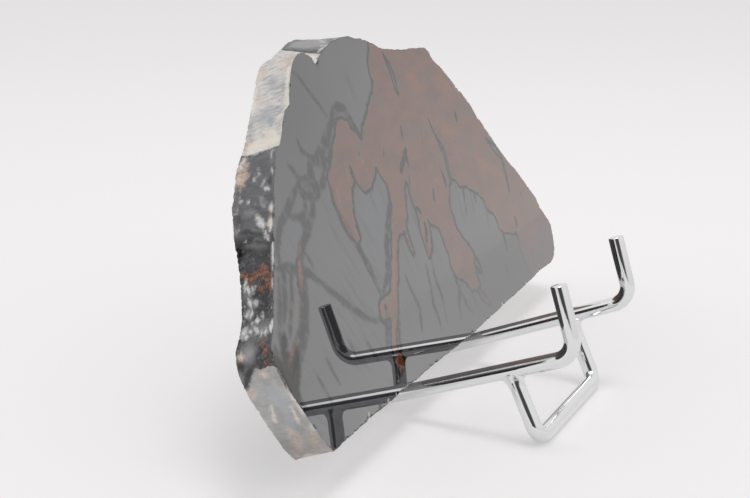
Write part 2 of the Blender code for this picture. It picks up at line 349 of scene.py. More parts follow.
def rock_noise(points, cell, seed):
    """A smooth random number from -1 to 1 at each point, with features the size of cell."""
    table_size = 32
    values = np.random.default_rng(seed).uniform(-1, 1, (table_size,) * 3)
    place = points / cell
    low = np.floor(place).astype(int)
    part = place - low
    part = part * part * (3 - 2 * part)
    total = np.zeros(len(points))
    for corner in itertools.product((0, 1), repeat=3):
        index = (low + corner) % table_size
        total += np.prod(np.where(corner, part, 1 - part), axis=1) * values[tuple(index.T)]
    return total


def smoothstep(low, high, value):
    """A smooth step from 0 to 1."""
    share = np.clip((value - low) / (high - low), 0, 1)
    return share * share * (3 - 2 * share)


def on_left_side(along, up):
    """1 on the left side of the slab and 0 elsewhere."""
    ends = LEFT_SIDE_ENDS - LEFT_SIDE_SLANT * np.maximum(LEFT_SIDE_TOP - up, 0)
    return 1 - smoothstep(ends - 0.5, ends + 0.5, along)


def rim_columns():
    """Columns round the rim: front points, back points, inward directions and distances along it."""
    stations = np.array([p if len(p) == 4 else p * 2 for p in RIM])
    middle = (stations[:, :2] + stations[:, 2:]) / 2
    gaps = np.linalg.norm(np.roll(middle, -1, axis=0) - middle, axis=1)
    ends = np.concatenate([[0], np.cumsum(gaps)])
    closed = np.vstack([stations, stations[:1]])
    fine_count = int(ends[-1] / RIM_STEP)
    at = np.arange(fine_count) * ends[-1] / fine_count
    fine = np.stack([np.interp(at, ends, closed[:, k]) for k in range(4)], axis=1)
    waves = np.fft.fftfreq(fine_count, RIM_STEP)
    soften = np.exp(-2 * (math.pi * waves * RIM_SOFTNESS) ** 2)
    fine = np.fft.ifft(np.fft.fft(fine, axis=0) * soften[:, None], axis=0).real
    spacing = np.where(on_left_side(fine[:, 0], fine[:, 1]) > 0.5, LEFT_COLUMN_STEP, COLUMN_STEP)
    crowding = np.cumsum(RIM_STEP / spacing)
    count = int(crowding[-1])
    pick = np.searchsorted(crowding, np.arange(count) * crowding[-1] / count)
    front, back = fine[pick, :2], fine[pick, 2:]
    middle = (front + back) / 2
    along = np.roll(middle, -3, axis=0) - np.roll(middle, 3, axis=0)
    along /= np.linalg.norm(along, axis=1)[:, None]
    inward = np.stack([along[:, 1], -along[:, 0]], axis=1)
    return front, back, inward, at[pick]


def side_hollow_depth(points):
    """How deep the left side is hollowed at each point, with the ripples of a shell-shaped break."""
    depth = np.zeros(len(points))
    wander = 0.5 * rock_noise(points, 2.3, 3)
    for height, into, half_height, half_width, deepest in HOLLOWS:
        up, across = points[:, 2] - height + wander, points[:, 1] - into
        reach = np.hypot(up / half_height, across / half_width)
        ripple = RIPPLE_DEPTH * deepest * np.sin(reach * half_height * RIPPLE_CROWDING)
        depth = np.maximum(depth, deepest * (1 - reach**2) + np.where(reach < 1, ripple, 0))
    return depth


def flake_scar_depth(points):
    """Depth of the strewn flake scars: each kind overlaps its own, and the kinds add up."""
    chance = np.random.default_rng(17)
    total = np.zeros(len(points))
    for number, smallest, largest, hollowness, lowest, highest in FLAKE_SCARS:
        depth = np.zeros(len(points))
        limits = ((smallest, largest), (lowest, highest), (0, THICKNESS), (0, math.pi), *SCAR_LIMITS)
        for _ in range(number):
            half, height, into, turn, squeeze, deepest = [chance.uniform(*limit) for limit in limits]
            up, across = points[:, 2] - height, points[:, 1] - into
            first = (up * math.cos(turn) + across * math.sin(turn)) / half
            second = (across * math.cos(turn) - up * math.sin(turn)) / (half * squeeze)
            depth = np.maximum(depth, deepest * hollowness * half * (1 - first**2 - second**2))
        total += depth
    return total


def inside_outline(points, outline):
    """Whether each point is inside a closed outline."""
    inside = np.zeros(len(points), bool)
    for (x0, y0), (x1, y1) in zip(outline, np.roll(outline, -1, axis=0)):
        if y0 == y1:
            continue
        crosses = (y0 > points[:, 1]) != (y1 > points[:, 1])
        inside ^= crosses & (points[:, 0] < (x1 - x0) * (points[:, 1] - y0) / (y1 - y0) + x0)
    return inside


def flat_points(rim, inward, step, insets):
    """Points that fill an outline: rings just inside it, and a triangular grid further in."""
    tree = kdtree.KDTree(len(rim))
    for number, point in enumerate(rim):
        tree.insert((*point, 0), number)
    tree.balance()
    found = []
    for ring, inset in enumerate(insets):
        stride = 1 if ring == 0 else 2
        for point in (rim + inward * inset)[ring % 2::stride]:
            if tree.find((*point, 0))[2] > inset * RING_CLEARANCE:
                found.append(point)
    low, high = rim.min(axis=0), rim.max(axis=0)
    grid = []
    for number, up in enumerate(np.arange(low[1], high[1], step * math.sqrt(3) / 2)):
        along = np.arange(low[0] + (number % 2) * step / 2, high[0], step)
        grid.append(np.stack([along, np.full(len(along), up)], axis=1))
    grid = np.concatenate(grid)
    grid = grid[inside_outline(grid, rim)]
    clear = step * GRID_CLEARANCE + max(insets, default=0)
    found += [point for point in grid if tree.find((*point, 0))[2] > clear]
    return np.array(found)


def fill_flat(rim, inner):
    """Triangles that fill an outline through its own points and the inner ones."""
    points = [Vector(p) for p in np.vstack([rim, inner])]
    edges = [(k, (k + 1) % len(rim)) for k in range(len(rim))]
    _, _, faces, sources, _, _ = geometry.delaunay_2d_cdt(points, edges, [], 1, 1e-6, True)
    first = [source[0] if source else -1 for source in sources]
    triangles = np.array([[first[k] for k in face] for face in faces])
    middles = np.vstack([rim, inner])[triangles].mean(axis=1)
    return [tuple(triangle) for triangle in triangles[inside_outline(middles, rim)].tolist()]


def bite(points, centre, radius):
    """Pushes the points inside a ball out to its surface, and says which moved."""
    away = points - centre
    distance = np.linalg.norm(away, axis=1)
    inside = distance < radius
    points[inside] = centre + away[inside] * (radius / np.maximum(distance[inside], 1e-6))[:, None]
    return inside


front, back, inward, rim_run = rim_columns()
columns, rows = len(front), len(ROW_DEPTHS)
share = (ROW_DEPTHS / THICKNESS)[None, :, None]
side = np.zeros((columns, rows, 3))
flat_place = front[:, None] * (1 - share) + back[:, None] * share
side[..., 0], side[..., 2] = flat_place[..., 0], flat_place[..., 1]
side[..., 1] = ROW_DEPTHS[None, :]
side = side.reshape(-1, 3)
side_inward = np.repeat(inward, rows, axis=0)
left = on_left_side(side[:, 0], side[:, 2])
ragged_height = side[:, 2] + 0.25 * rock_noise(side, 1.6, 5)
upper_left = left * smoothstep(SAWN_ABOVE - 0.4, SAWN_ABOVE + 0.4, ragged_height)
break_drop = BREAK_SLANT * np.maximum(side[:, 1] - BREAK_SLANT_START, 0)
ragged_height = side[:, 2] + break_drop + 0.5 * rock_noise(side, 2, 6)
lower_left = left * (1 - smoothstep(SAWN_BELOW - 0.5, SAWN_BELOW + 0.5, ragged_height))
broken = left * (1 - upper_left) * (1 - lower_left)


def roughness(depth, cell, seed):
    """Random depths of the sides, up to twice this depth, in lumps the size of cell."""
    return depth * (1 + rock_noise(side, cell, seed))


sink = roughness(0.05, 1.1, 11) + roughness(0.10, 3.5, 12) * (1 - broken)
sink += left * (side_hollow_depth(side) + broken * flake_scar_depth(side))
sink += DISHED_DEPTH * upper_left * np.exp(-(((side[:, 2] - DISHED_AT) / DISHED_HALF_HEIGHT) ** 2))
sink += broken * roughness(0.05, 0.7, 13)
worked_edge = np.minimum(side[:, 1], THICKNESS - side[:, 1])
sink *= EDGE_SINK + (1 - EDGE_SINK) * smoothstep(0, EDGE_REACH, worked_edge)
sink += (1 - left) * (roughness(0.11, 2.4, 14) + roughness(0.06, 0.9, 15))
side[:, 0] += side_inward[:, 0] * sink
side[:, 2] += side_inward[:, 1] * sink

front_rim = side.reshape(columns, rows, 3)[:, 0, [0, 2]]
back_rim = side.reshape(columns, rows, 3)[:, -1, [0, 2]]
face_inner = flat_points(front_rim, inward, FACE_STEP, INSETS)
back_inner = flat_points(back_rim, inward, BACK_STEP, ())
face_triangles = fill_flat(front_rim, face_inner)
back_triangles = fill_flat(back_rim, back_inner)

face_start = len(side)
back_start = face_start + len(face_inner)
slab_points = np.vstack([
    side,
    np.stack([face_inner[:, 0], np.zeros(len(face_inner)), face_inner[:, 1]], axis=1),
    np.stack([back_inner[:, 0], np.full(len(back_inner), THICKNESS), back_inner[:, 1]], axis=1),
])


def slab_numbers(triangles, row, start):
    """Triangles of a flat side by the slab's point numbers. The rim's points come first in them."""
    return [tuple(k * rows + row if k < columns else start + k - columns for k in corners)
            for corners in triangles]


slab_faces = []
for column in range(columns):
    this, after = column * rows, (column + 1) % columns * rows
    for row in range(rows - 1):
        slab_faces.append((this + row, this + row + 1, after + row + 1, after + row))
side_face_count = len(slab_faces)
slab_faces += slab_numbers(face_triangles, 0, face_start)
slab_faces += slab_numbers([corners[::-1] for corners in back_triangles], rows - 1, back_start)

chance = np.random.default_rng(21)
chipped = np.zeros(len(slab_points), bool)
near_face = np.flatnonzero(slab_points[:, 1] < CHIP_REACH)
near_back = np.flatnonzero(slab_points[:, 1] > THICKNESS - CHIP_REACH)
for edge, rim, depth, outward in ((near_face, front_rim, 0.0, -1), (near_back, back_rim, THICKNESS, 1)):
    spots = []
    for spacing, (smallest, largest) in ((CHIP_SPACING, CHIP_RADII), (FLAKE_SPACING, FLAKE_RADII)):
        for start in np.arange(0, rim_run[-1], spacing):
            column = np.searchsorted(rim_run, start + chance.uniform(0, spacing)) % columns
            radius = smallest + (largest - smallest) * chance.uniform() ** 3
            spots.append((rim[column], inward[column], radius))
    if outward < 0:
        for along, up, radius in LARGE_CHIPS:
            column = int(np.argmin(np.hypot(rim[:, 0] - along, rim[:, 1] - up)))
            spots.append((rim[column], inward[column], radius))
    for (along, up), (in_along, in_up), radius in spots:
        out = radius * chance.uniform(*CHIP_OFFSET)
        off = radius * chance.uniform(*CHIP_LIFT)
        centre = np.array([along - in_along * out, depth + outward * off, up - in_up * out])
        part = slab_points[edge]
        moved = bite(part, centre, radius)
        slab_points[edge] = part
        chipped[edge[moved]] = True

slab_world = easel_place @ slab_in_easel
slab_mesh = bpy.data.meshes.new("obsidian")
placed = slab_points @ np.array(slab_world.to_3x3()).T + np.array(slab_world.translation)
slab_mesh.from_pydata((placed * MM).tolist(), [], slab_faces)
slab_mesh.validate()

# ------------------------------------------------------------------------------------------------
# Slab, pattern. The glass is black with folded bands of red-brown iron-stained glass, the mahogany.
# Darker veins and a few rust streaks follow the flow of the lava. The bands run through the
# thickness. Lengths in millimetres: along, up.
# ------------------------------------------------------------------------------------------------
MAHOGANY = [
    (8, 90), (8, 85), (6, 82.5), (3.5, 79.5), (2.5, 76.5), (3, 75), (2, 73), (-0.5, 71), (-4, 68.5),
    (-7, 66.5), (-10.5, 64), (-13.5, 61), (-15.5, 63), (-17.5, 64.5), (-18, 66.5), (-20, 67.5),
    (-22.5, 67.5), (-24.5, 66), (-26, 64), (-29, 61.5), (-31, 59), (-33.5, 57), (-35.5, 55.5),
    (-35.5, 52), (-36, 50), (-35.5, 47.5), (-35, 45), (-34, 42.5), (-32.5, 40.5), (-31, 39), (-29.5, 40),
    (-29.5, 43), (-29, 46), (-27.5, 49), (-26, 51.5), (-23.5, 53.5), (-22, 52.5), (-21.5, 51),
    (-19.5, 49.5), (-16, 50), (-13, 52), (-10, 54.5), (-9, 52), (-7, 49.5), (-7, 47), (-7.5, 44),
    (-10, 40.5), (-13, 36.5), (-15.9, 32.5), (-18.4, 29.5), (-21, 26), (-22.8, 24.3), (-28.5, 24.3),
    (-29.8, 23.2), (-30.6, 21.2), (-30.2, 19.6), (-28.6, 19.8), (-26.6, 20.2), (-26, 19.2), (-27.7, 16.8),
    (-29.4, 13.9), (-30.1, 11.9), (-28.9, 11.6), (-27.8, 13.2), (-26.2, 15.8), (-23.2, 18.6),
    (-20.8, 21.8), (-17.6, 26), (-15.5, 28.6), (-14, 31.5), (-10.5, 35.5), (-9, 36.5), (-6.5, 36.5),
    (-4, 37), (-1.5, 40), (0, 43), (1.5, 46), (4.5, 48.5), (5, 46.5), (4.5, 44), (5, 40.5), (5, 38),
    (4, 34), (4, 29.5), (4, 27.5), (6, 28.5), (8, 31), (10, 35), (10, 37), (12, 34.5), (15.5, 33.5),
    (16, 31.5), (16.5, 28.5), (17, 25), (16, 22.5), (17, 20), (18, 18.5), (21.5, 17.5), (23, 15.5),
    (24.5, 13.5), (28, 12.5), (31, 13), (30.5, 15.5), (31.5, 19), (33, 22), (31, 24.5), (28, 27.5),
    (26.5, 30), (26.5, 33.5), (26, 36), (27.5, 39), (30, 42), (34, 43.5), (36, 42.5), (38, 40.5),
    (41.5, 40), (45, 38.5), (49, 36.5), (51.5, 34), (52, 31.5), (56, 29), (57.5, 26.5), (57.5, 24),
    (61, 22), (66.5, 20.5), (70.5, 20.5), (70, 17), (69.5, 14), (71, 10.5), (71.5, 5.5), (72.5, 0),
    (110, 0), (110, 90),
]
# Each streak has its width in the middle, then along and up for each point of its line. First the
# black streaks in the brown, then the brown streaks in the black
BLACK_STREAKS = [
    (3, 13.6, 80.6, 15.4, 75.5, 15.2, 69.6), (1.3, 10.9, 62, 10.1, 58.6),
    (2.3, 9.8, 55.4, 6.4, 53.1, 2.6, 50.3), (1.4, 9, 55, 8.5, 50.5), (1.2, 7.2, 49.2, 5.6, 45.8),
    (1.1, 29.5, 62.5, 30.3, 58.5, 31.5, 54.7), (2.6, 31.4, 56, 33.6, 50.6, 32.8, 45, 32.5, 41),
    (1.2, 28, 47.5, 28.6, 43.5, 28, 41), (3, 67.6, 50, 72.1, 46.2, 76, 42.4),
    (2.2, 75.8, 42.4, 75.3, 38, 73.6, 31.5), (1.3, 50.2, 60.9, 48.9, 57.4),
    (1.8, -23.5, 57, -23.5, 54.5, -23, 52), (2, 5.5, 41, 7.5, 38.5), (1.6, 8, 36, 7, 33.5, 5, 30.5),
    (0.7, 19.5, 43, 17, 39), (2, 73, 24.5, 71.5, 21), (1, 83.5, 30.5, 82, 28), (1.2, 79, 13.5, 76.5, 8.5),
    (1.2, -17, 59.5, -17, 57.5), (1.5, -26.9, 22.8, -27.6, 21.3), (0.7, 38, 66.5, 39.4, 63.8),
    (0.7, 21.5, 57.5, 20.6, 54.6), (0.8, 53.6, 47.4, 53, 44.6), (0.6, 17.6, 50.2, 16.4, 46.8),
    (0.6, -2.6, 58, -4.2, 55.6), (0.6, 24.4, 66.4, 24.2, 63.6),
]
BROWN_STREAKS = [
    (1.5, -4.5, 38, -4.5, 34, -4, 30.5), (1.3, 29.2, 11.6, 31.3, 9.2, 33.5, 6.9),
    (1.2, -59, 41, -60.5, 37.5, -62, 35), (0.7, 8.2, 31.8, 7.3, 29), (2, 76.3, 7.4, 71.5, 10.2, 69.8, 15),
    (4, -27.9, 10.1, -28.6, 8.9, -29.6, 7.5),
]
CHARCOAL_VEINS = [
    (1.2, -37.5, 81.5, -35, 79.5, -33.5, 77.5, -31.5, 74.8, -28.9, 71.7, -27, 68.7),
    (2.3, -25.6, 66.4, -24.9, 68.2, -23, 69.9, -20.3, 70.5, -17.6, 69.9, -16.3, 67.9, -15.5, 65.6),
    (1.3, -16.2, 66.8, -13.8, 63.6, -12.6, 61.5),
    (3, -25.8, 67.7, -28.8, 65.7, -31.5, 63.6, -35.1, 61.8, -38.7, 60.7),
    (1.5, -30.5, 61.5, -32.2, 59.4, -34.8, 57.4), (1.4, -44.2, 66, -43.6, 63.6, -40.8, 61.3, -36.2, 60.8),
    (2.6, -41.6, 60.9, -37.9, 59.7, -33, 59.7), (3, -41.6, 60.4, -43.1, 57, -43.5, 53.9),
    (2.2, -34.6, 59, -38.3, 55.2, -43.6, 52.2), (1.3, -51.2, 61.2, -50.3, 60.2, -49, 58.3, -47.2, 57),
    (3, -49.2, 57.2, -44.5, 56.3, -41, 54.7), (2.6, -49.6, 57, -48.6, 53.8, -44.6, 52.3),
    (2.1, -48.6, 57, -53.8, 54.4, -57.6, 52, -61.4, 50.3, -64.2, 47.9, -66.2, 45.4, -67.4, 42),
    (1.5, -57.8, 52.2, -56.4, 50.4, -53.1, 49.7, -49.4, 50.9),
    (2.7, -45.2, 53.4, -46.9, 49.8, -49.5, 48.1, -52.2, 46.1, -55.6, 44.2, -58, 42.2, -59, 39.4),
    (1.5, -48.4, 52.8, -50.4, 50.3, -53, 48), (1.1, -56.3, 42.9, -55, 41.1, -54.2, 38.6),
    (2.2, -68.8, 41.8, -64.5, 41.2, -61, 39.6, -56.9, 38.2, -53.3, 35),
    (1.8, -54.5, 36.4, -46.2, 28.8, -40.7, 24.6, -35.3, 21.2, -29, 19.7),
    (1.9, -66, 41.4, -69.1, 35.3, -72, 31.4), (1.7, -69, 40, -72.1, 34, -76, 27.8),
    (1.3, -63.3, 40.4, -66.5, 34.6, -71.8, 27.8),
    (4, -58.3, 40, -61.9, 33.4, -65.6, 27.8, -70.3, 23.9, -77.2, 19),
    (2.8, -78.3, 27.6, -78.4, 21.2, -76, 16),
    (2.3, -35.4, 54, -36.1, 49.3, -34.6, 45.4, -32.7, 41.4, -31, 37.4, -28.6, 30.4, -27.4, 24.2),
    (2.2, -6.6, 49, -8.4, 44.4, -13.3, 39.7, -17, 35.4, -19, 31.6, -22, 28.2, -26.4, 25.6),
    (2.1, -27.6, 20.6, -29.5, 17.2, -32.4, 14), (1.4, -22.4, 17.4, -25.2, 14.2, -26, 10.6),
    (1.3, -12.2, 26.2, -11.4, 21.7, -9.8, 17.6, -12.6, 11.4),
    (1.3, 0.9, 25.6, 0, 20.3, -1.7, 15.7, -0.9, 11.6, -1.4, 8),
    (1.1, 4.6, 25.6, 4.2, 20.7, 4.7, 16.3, 3.2, 9.8), (1.4, 15.2, 21.4, 17.1, 15.8, 14.1, 12.1, 12.2, 8),
    (1.9, 16.6, 15, 19, 10, 20.8, 7.6), (1.4, 32.7, 22.4, 34.9, 18.3, 35.8, 14.6),
    (1.8, 30.9, 18.6, 34.2, 15.6), (1, 59, 24.4, 58.7, 20.4, 58.5, 16.2),
    (1.1, 39.6, 41, 38.1, 36.8, 36.2, 32.4), (0.9, 46.4, 37.8, 45.2, 34), (0.7, 54, 15, 53.5, 6.5),
    (1.3, -6.1, 35.2, -4.7, 33.1, -3.3, 31), (1.6, 5, 33.2, 4.5, 30, 5.2, 27),
    (0.8, -41, 17.5, -38.5, 12.4), (0.8, -60.5, 20, -58.2, 13), (0.8, -66, 17.6, -63.4, 11),
    (0.7, -49, 20.5, -47, 14.6), (0.9, 23.4, 12.8, 26, 6.4), (1.2, 28.4, 12, 31.6, 9.4, 35.4, 5.6),
]
# A smoky patch beside the left side, where the glass is dark brown, deepened by painted shade where the
# face's reflection is darker
SMOKY_AND_SHADED_STREAKS = [
    (5, -80.5, 26.5, -78.5, 22, -76.5, 18.5, -75.5, 15.5), (5, -76, 26, -74.5, 22.5, -75.5, 17.5),
    (3.6, -70.5, 26, -73, 21.5, -75.5, 18), (3, -73.5, 29, -75.5, 26), (1.6, -77, 16.5, -74, 12.5),
]
# Where the black glass is bluish
BLUISH_STREAKS = [
    (18, -16, 50, -20, 42, -28, 33), (9, -57, 50, -61, 43), (7, -8, 74, -12, 67),
    (6, 3, 81, -3, 73, -9, 65), (12, 37, 40, 40, 33), (7, 3, 45, 4, 32),
]
# Small nicks in the polished face along its lower edge, and their dark sides
NICKS = [
    (1, -49.9, 3.6, -50.2, 2), (0.9, -39.4, 3.3, -39.8, 1.9), (0.4, -35, 3.2, -35.2, 2.1),
    (0.5, -33, 3, -33.4, 2), (0.5, -28.1, 3.2, -28.4, 2.2), (0.9, 42.9, 4.5, 42.7, 3.2),
    (0.7, 79.3, 5.5, 79, 4.6), (0.7, -10.2, 3.3, -10.4, 2.4),
]
NICK_SHADES = [
    (1.6, -43.6, 3.5, -45, 2), (1.1, -37.6, 3.4, -38.2, 2), (1.2, -31.4, 3.2, -32, 2),
    (0.8, -29.8, 3.8, -30.2, 2), (0.9, -25.2, 3.2, -25.4, 2), (0.9, 44, 4.4, 43.8, 3.4),
    (1, 80.3, 6, 80, 4.6), (1.2, 17, 4, 16.8, 2.4), (1, 0.6, 4.6, 0.4, 2.4), (1.3, 29.2, 3.9, 29, 2.8),
    (0.8, -9, 3.8, -9.2, 2.4), (0.8, 26.4, 3.4, 26, 2.8),
]
RUST_STREAKS = [
    (1.1, -55.7, 45.2, -58.1, 42.5, -59.5, 39.9, -61.2, 36.3), (1.8, -59.3, 39.9, -60.8, 37.2),
    (0.8, -63.2, 34.2, -67.8, 28.4), (1.5, -69.4, 26.6, -72.6, 25, -75.4, 22.6),
    (1.3, -12, 36, -15, 32.5, -17.5, 28.8, -20.5, 24.8, -23.2, 23.6), (0.9, -24, 23.8, -28, 23.6),
    (0.8, -29.4, 23, -30, 20.6), (0.9, -24.5, 19, -27, 16.4, -29, 13.6), (1.2, -30, 10.5, -30.4, 8.6),
    (1, -25.2, 57.6, -26.2, 53), (1.2, -33, 53.4, -33.8, 47), (1.2, -16.4, 58, -15.4, 53),
]
# Where the mahogany is brightest
EMBER_STREAKS = [
    (8, 24, 76, 30, 70), (6, 47, 71, 55, 66), (7, 58, 44, 66, 39), (5, 22, 48, 24, 40),
    (5, -30, 57, -33, 48), (5, 12, 27, 22, 20), (5, 72, 22, 82, 12), (5, 37, 60, 44, 52),
    (6, -2, 62, 6, 68),
]
DRIFT = (0.12, 0.036)                    # along and up, for each unit into the slab
FLOW_FOCUS = (20.0, -90.0)               # the flow lines fan out from here
FLOW_REACH = 130.0
FAR_OUT = -20.0                          # the depth of a point that no streak is near


def outline_depth(points, outline):
    """Distance of each point inside a closed outline, negative outside it."""
    nearest = np.full(len(points), np.inf)
    for start, end in zip(outline, np.roll(outline, -1, axis=0)):
        run = end - start
        share = np.clip(((points - start) @ run) / (run @ run), 0, 1)
        nearest = np.minimum(nearest, np.linalg.norm(points - start - share[:, None] * run, axis=1))
    return np.where(inside_outline(points, outline), nearest, -nearest)


def streak_depth(points, streaks):
    """Distance of each point inside the nearest of some tapering streaks, negative outside them."""
    deepest = np.full(len(points), FAR_OUT)
    for width, *line in streaks:
        line = np.array(line, float).reshape(-1, 2)
        runs = np.linalg.norm(np.diff(line, axis=0), axis=1)
        starts = np.concatenate([[0], np.cumsum(runs)])
        for number, run in enumerate(runs):
            step = (line[number + 1] - line[number]) / run
            travel = np.clip((points - line[number]) @ step, 0, run)
            gap = np.linalg.norm(points - line[number] - travel[:, None] * step, axis=1)
            along = 2 * (starts[number] + travel) / starts[-1] - 1
            half = width / 2 * np.sqrt(np.maximum(1 - 0.85 * along**2, 0))
            deepest = np.maximum(deepest, half - gap)
    return deepest


def set_attribute(mesh, name, values):
    """Stores one number, or one vector, for each point of a mesh."""
    kind, field = ("FLOAT", "value") if values.ndim == 1 else ("FLOAT_VECTOR", "vector")
    attribute = mesh.attributes.new(name, kind, "POINT")
    attribute.data.foreach_set(field, values.astype(np.float32).ravel())


flat = slab_points[:, [0, 2]] + np.outer(slab_points[:, 1], DRIFT)
mahogany = np.maximum(outline_depth(flat, np.array(MAHOGANY, float)), streak_depth(flat, BROWN_STREAKS))
mahogany = np.minimum(mahogany, -streak_depth(flat, BLACK_STREAKS))
set_attribute(slab_mesh, "mahogany", np.clip(mahogany, -8, 8))
for name, streaks, limit in (("ember", EMBER_STREAKS, 6), ("charcoal", CHARCOAL_VEINS, 4),
                             ("smoky_and_shaded", SMOKY_AND_SHADED_STREAKS, 4), ("bluish", BLUISH_STREAKS, 8)):
    set_attribute(slab_mesh, name, np.clip(streak_depth(flat, streaks), -limit, limit))
from_focus = flat - np.array(FLOW_FOCUS)
across = np.arctan2(from_focus[:, 0], from_focus[:, 1]) * FLOW_REACH
flow = np.stack([across, np.hypot(*from_focus.T), slab_points[:, 1]], axis=1)
set_attribute(slab_mesh, "flow", flow)
set_attribute(slab_mesh, "place", slab_points)

# Marks on the left side: the width in the middle, then depth into the slab and height for each point
# White frosted bruises and chips, and painted highlights on the glassy hollows
SIDE_FROST_AND_HIGHLIGHT = [
    (0.9, 5, 61.3, 4.8, 61.5), (1.1, 5.9, 60.3, 5.7, 60.5), (1.3, 6.7, 56.5, 6.5, 56.3),
    (1.3, 4.6, 53.1, 3.9, 51.7, 2.8, 50.5), (1, 3, 49.9, 2.3, 49.1, 1.4, 47.6), (1, 1.5, 49.7, 1.5, 49.5),
    (1, 0.25, 47.2, 0.3, 45.2, 0.35, 43.4), (0.8, 0.6, 42.6, 0.6, 41.6), (0.9, 8.1, 39.7, 7.2, 38.1),
    (1.5, 7.8, 37.1, 7.5, 35.9), (0.9, 5.9, 36.9, 6, 35.9), (0.9, 6.9, 34.9, 7.8, 33.5),
    (0.8, 8.8, 34.9, 8.8, 33.9), (1.6, 5.6, 32.9, 5, 33.1), (1.2, 6.8, 32.5, 6.6, 32.7),
    (1.2, 8.3, 31.9, 9.5, 30.5), (1.2, 7.6, 31.5, 7.1, 30.9), (1.2, 6.4, 31.8, 5, 30.9),
    (1, 9, 30.6, 7.8, 30.1), (2, 1.2, 31.2, 0.6, 31.6), (1.4, 2.6, 30.9, 2, 30.9),
    (1.4, 4, 30.7, 3.6, 30.5), (0.8, 0.9, 36.4, 0.9, 35), (1.2, 0.3, 32.9, 0.3, 31.5),
    (0.8, 9.2, 63.9, 9, 65.3), (0.9, 7.4, 65.9, 4.9, 66.1, 1.8, 66.1), (0.5, 1.3, 65.3, 1.3, 64.2),
    (0.6, 1.1, 61.6, 1, 60.8), (1, 2.8, 58.1, 1.4, 57.7), (0.9, 8.7, 56.9, 8.4, 56.7),
    (0.7, 6.4, 39.6, 6, 38.2), (0.6, 4.4, 34.4, 3.6, 33), (0.6, 8.6, 41, 8.9, 38.6),
    (0.6, 3.2, 59.8, 3.6, 58.9), (0.5, 7.9, 48.6, 6.9, 48.9),
]
# Cream crust, and a painted highlight along the lit lip where the upper sawn part meets the break
SIDE_CREAM_AND_HIGHLIGHT = [
    (1, 0.7, 82.3, 0.8, 79.9, 0.5, 76.7, 0.6, 73), (1.6, 0.7, 75.5, 0.5, 73.9),
    (2.8, 8.5, 67.1, 6, 67.5, 3.2, 67.5, 0.5, 67.1), (1.4, 5.3, 69.7, 1.5, 68.5),
    (1.7, 1, 54.5, 0.9, 53.4), (1.5, 1.1, 51.8, 1, 50), (1, 0.5, 46.8, 0.55, 43),
    (0.9, 0.6, 39.8, 0.6, 38.8), (0.5, 0.4, 17.3, 0.3, 15.7, 0.3, 12.5), (0.8, 9.6, 80, 9.5, 74),
    (0.5, 0.4, 9.5, 0.4, 8), (0.5, 6.4, 15.5, 7.6, 12), (0.4, 2, 14.8, 2.6, 10.4), (1, 3.8, 1.4, 8, 1.5),
]
SIDE_CLAY = [
    (1.8, 4.3, 84.9, 0.7, 83.1), (1.3, 2.3, 82.7, 1.2, 82.9), (2, 9.3, 62.7, 8.9, 64.7),
    (2.8, 9.3, 62.3, 8.8, 60.3), (2.4, 9.4, 67.3, 9.4, 68.5), (1.3, 9.1, 27.4, 8.5, 27.1),
    (1.6, 3.7, 23.5, 3.8, 22.7), (1.2, 7, 1.7, 2.3, 1.5), (2, 8.2, 83.3, 9.8, 81.7),
    (1.6, 9.6, 79.6, 9.3, 76.4), (2.2, 5.9, 8.9, 5.6, 6.7, 7.1, 4.3), (1.8, 8.5, 2.5, 8.4, 2.1),
    (1.4, 2, 6.6, 2.6, 4.4), (1.2, 9, 20.4, 8.9, 18.6), (1.1, 1.5, 7.9, 1.7, 5.8),
    (0.9, 1.6, 2.7, 0.4, 1.8), (0.6, 0.2, 16.8, 0.4, 13.6),
]
SIDE_BLUE = [
    (3.6, 7.4, 72.6, 3.6, 73.1), (2.8, 4.1, 71.5, 3.1, 71.7), (3, 5.6, 80.7, 4.2, 78.9),
    (3.4, 3.8, 18.9, 3.4, 16.5, 3.9, 13.3), (1.2, 6.6, 19.2, 4.4, 19.8, 2.4, 18.6),
    (3, 4.6, 12.4, 4.2, 10),
]
SIDE_RUST = [
    (1.9, 9.7, 42.3, 7.5, 40.9, 5.7, 41.9, 3.9, 42.5, 2.2, 41.5, 1.7, 39.9, 1.1, 37.9),
    (1.4, 6, 41.1, 4.5, 42.1), (1.5, 5.3, 38.9, 3.6, 39.1), (1, 3.2, 29.3, 2.5, 28.5),
    (1.3, 1.8, 28.1, 1.6, 26.9), (1.5, 2.1, 25.1, 1.5, 24.9), (1.7, 3.6, 41.2, 2.4, 39.8, 1.6, 38.2),
]
# Black glass patches; the thin line low down along the face's edge is painted shade
SIDE_DARK_GLASS_AND_SHADE = [
    (1, 1.5, 60.1, 1.4, 58.9), (0.8, 9.5, 50.7, 6.3, 50.3, 3.8, 49.3, 1.3, 47.3),
    (1.5, 4.1, 40.1, 3.8, 39.7), (2.8, 3.5, 36.9, 2.5, 34.5, 3.4, 33.5), (0.9, 0.4, 27.7, 0.2, 27.1),
    (0.6, 0.1, 24.7, 0.2, 21.9, 0.3, 19.3), (1.5, 5.1, 29.9, 4.7, 29.5), (0.9, 9.5, 33.3, 8.5, 32.7),
    (1.5, 5.9, 24.9, 8, 23, 9.4, 20.6),
]
# Grey haze on the broken glass, partly painted sheen where glassy facets catch the light
SIDE_HAZE_AND_SHEEN = [
    (5.2, 8.8, 26.8, 4.6, 28), (2.2, 1.4, 65, 1.2, 60.4, 1.8, 57.6), (2.4, 8.6, 24, 5.2, 24.6),
    (3, 9.6, 24.4, 9.8, 21.6), (2.4, 6.2, 51.4, 2.6, 47.9), (3.4, 8.6, 53.6, 4.4, 54.2),
    (2, 7.6, 47.8, 2.6, 46.6), (2.2, 3.2, 56.4, 1.2, 54.2), (1.2, 7.8, 65.6, 3, 65.8),
    (3.4, 9.2, 39, 7.4, 35.8, 9, 32), (4, 9.4, 31.4, 5, 31.2, 1, 31.6),
]
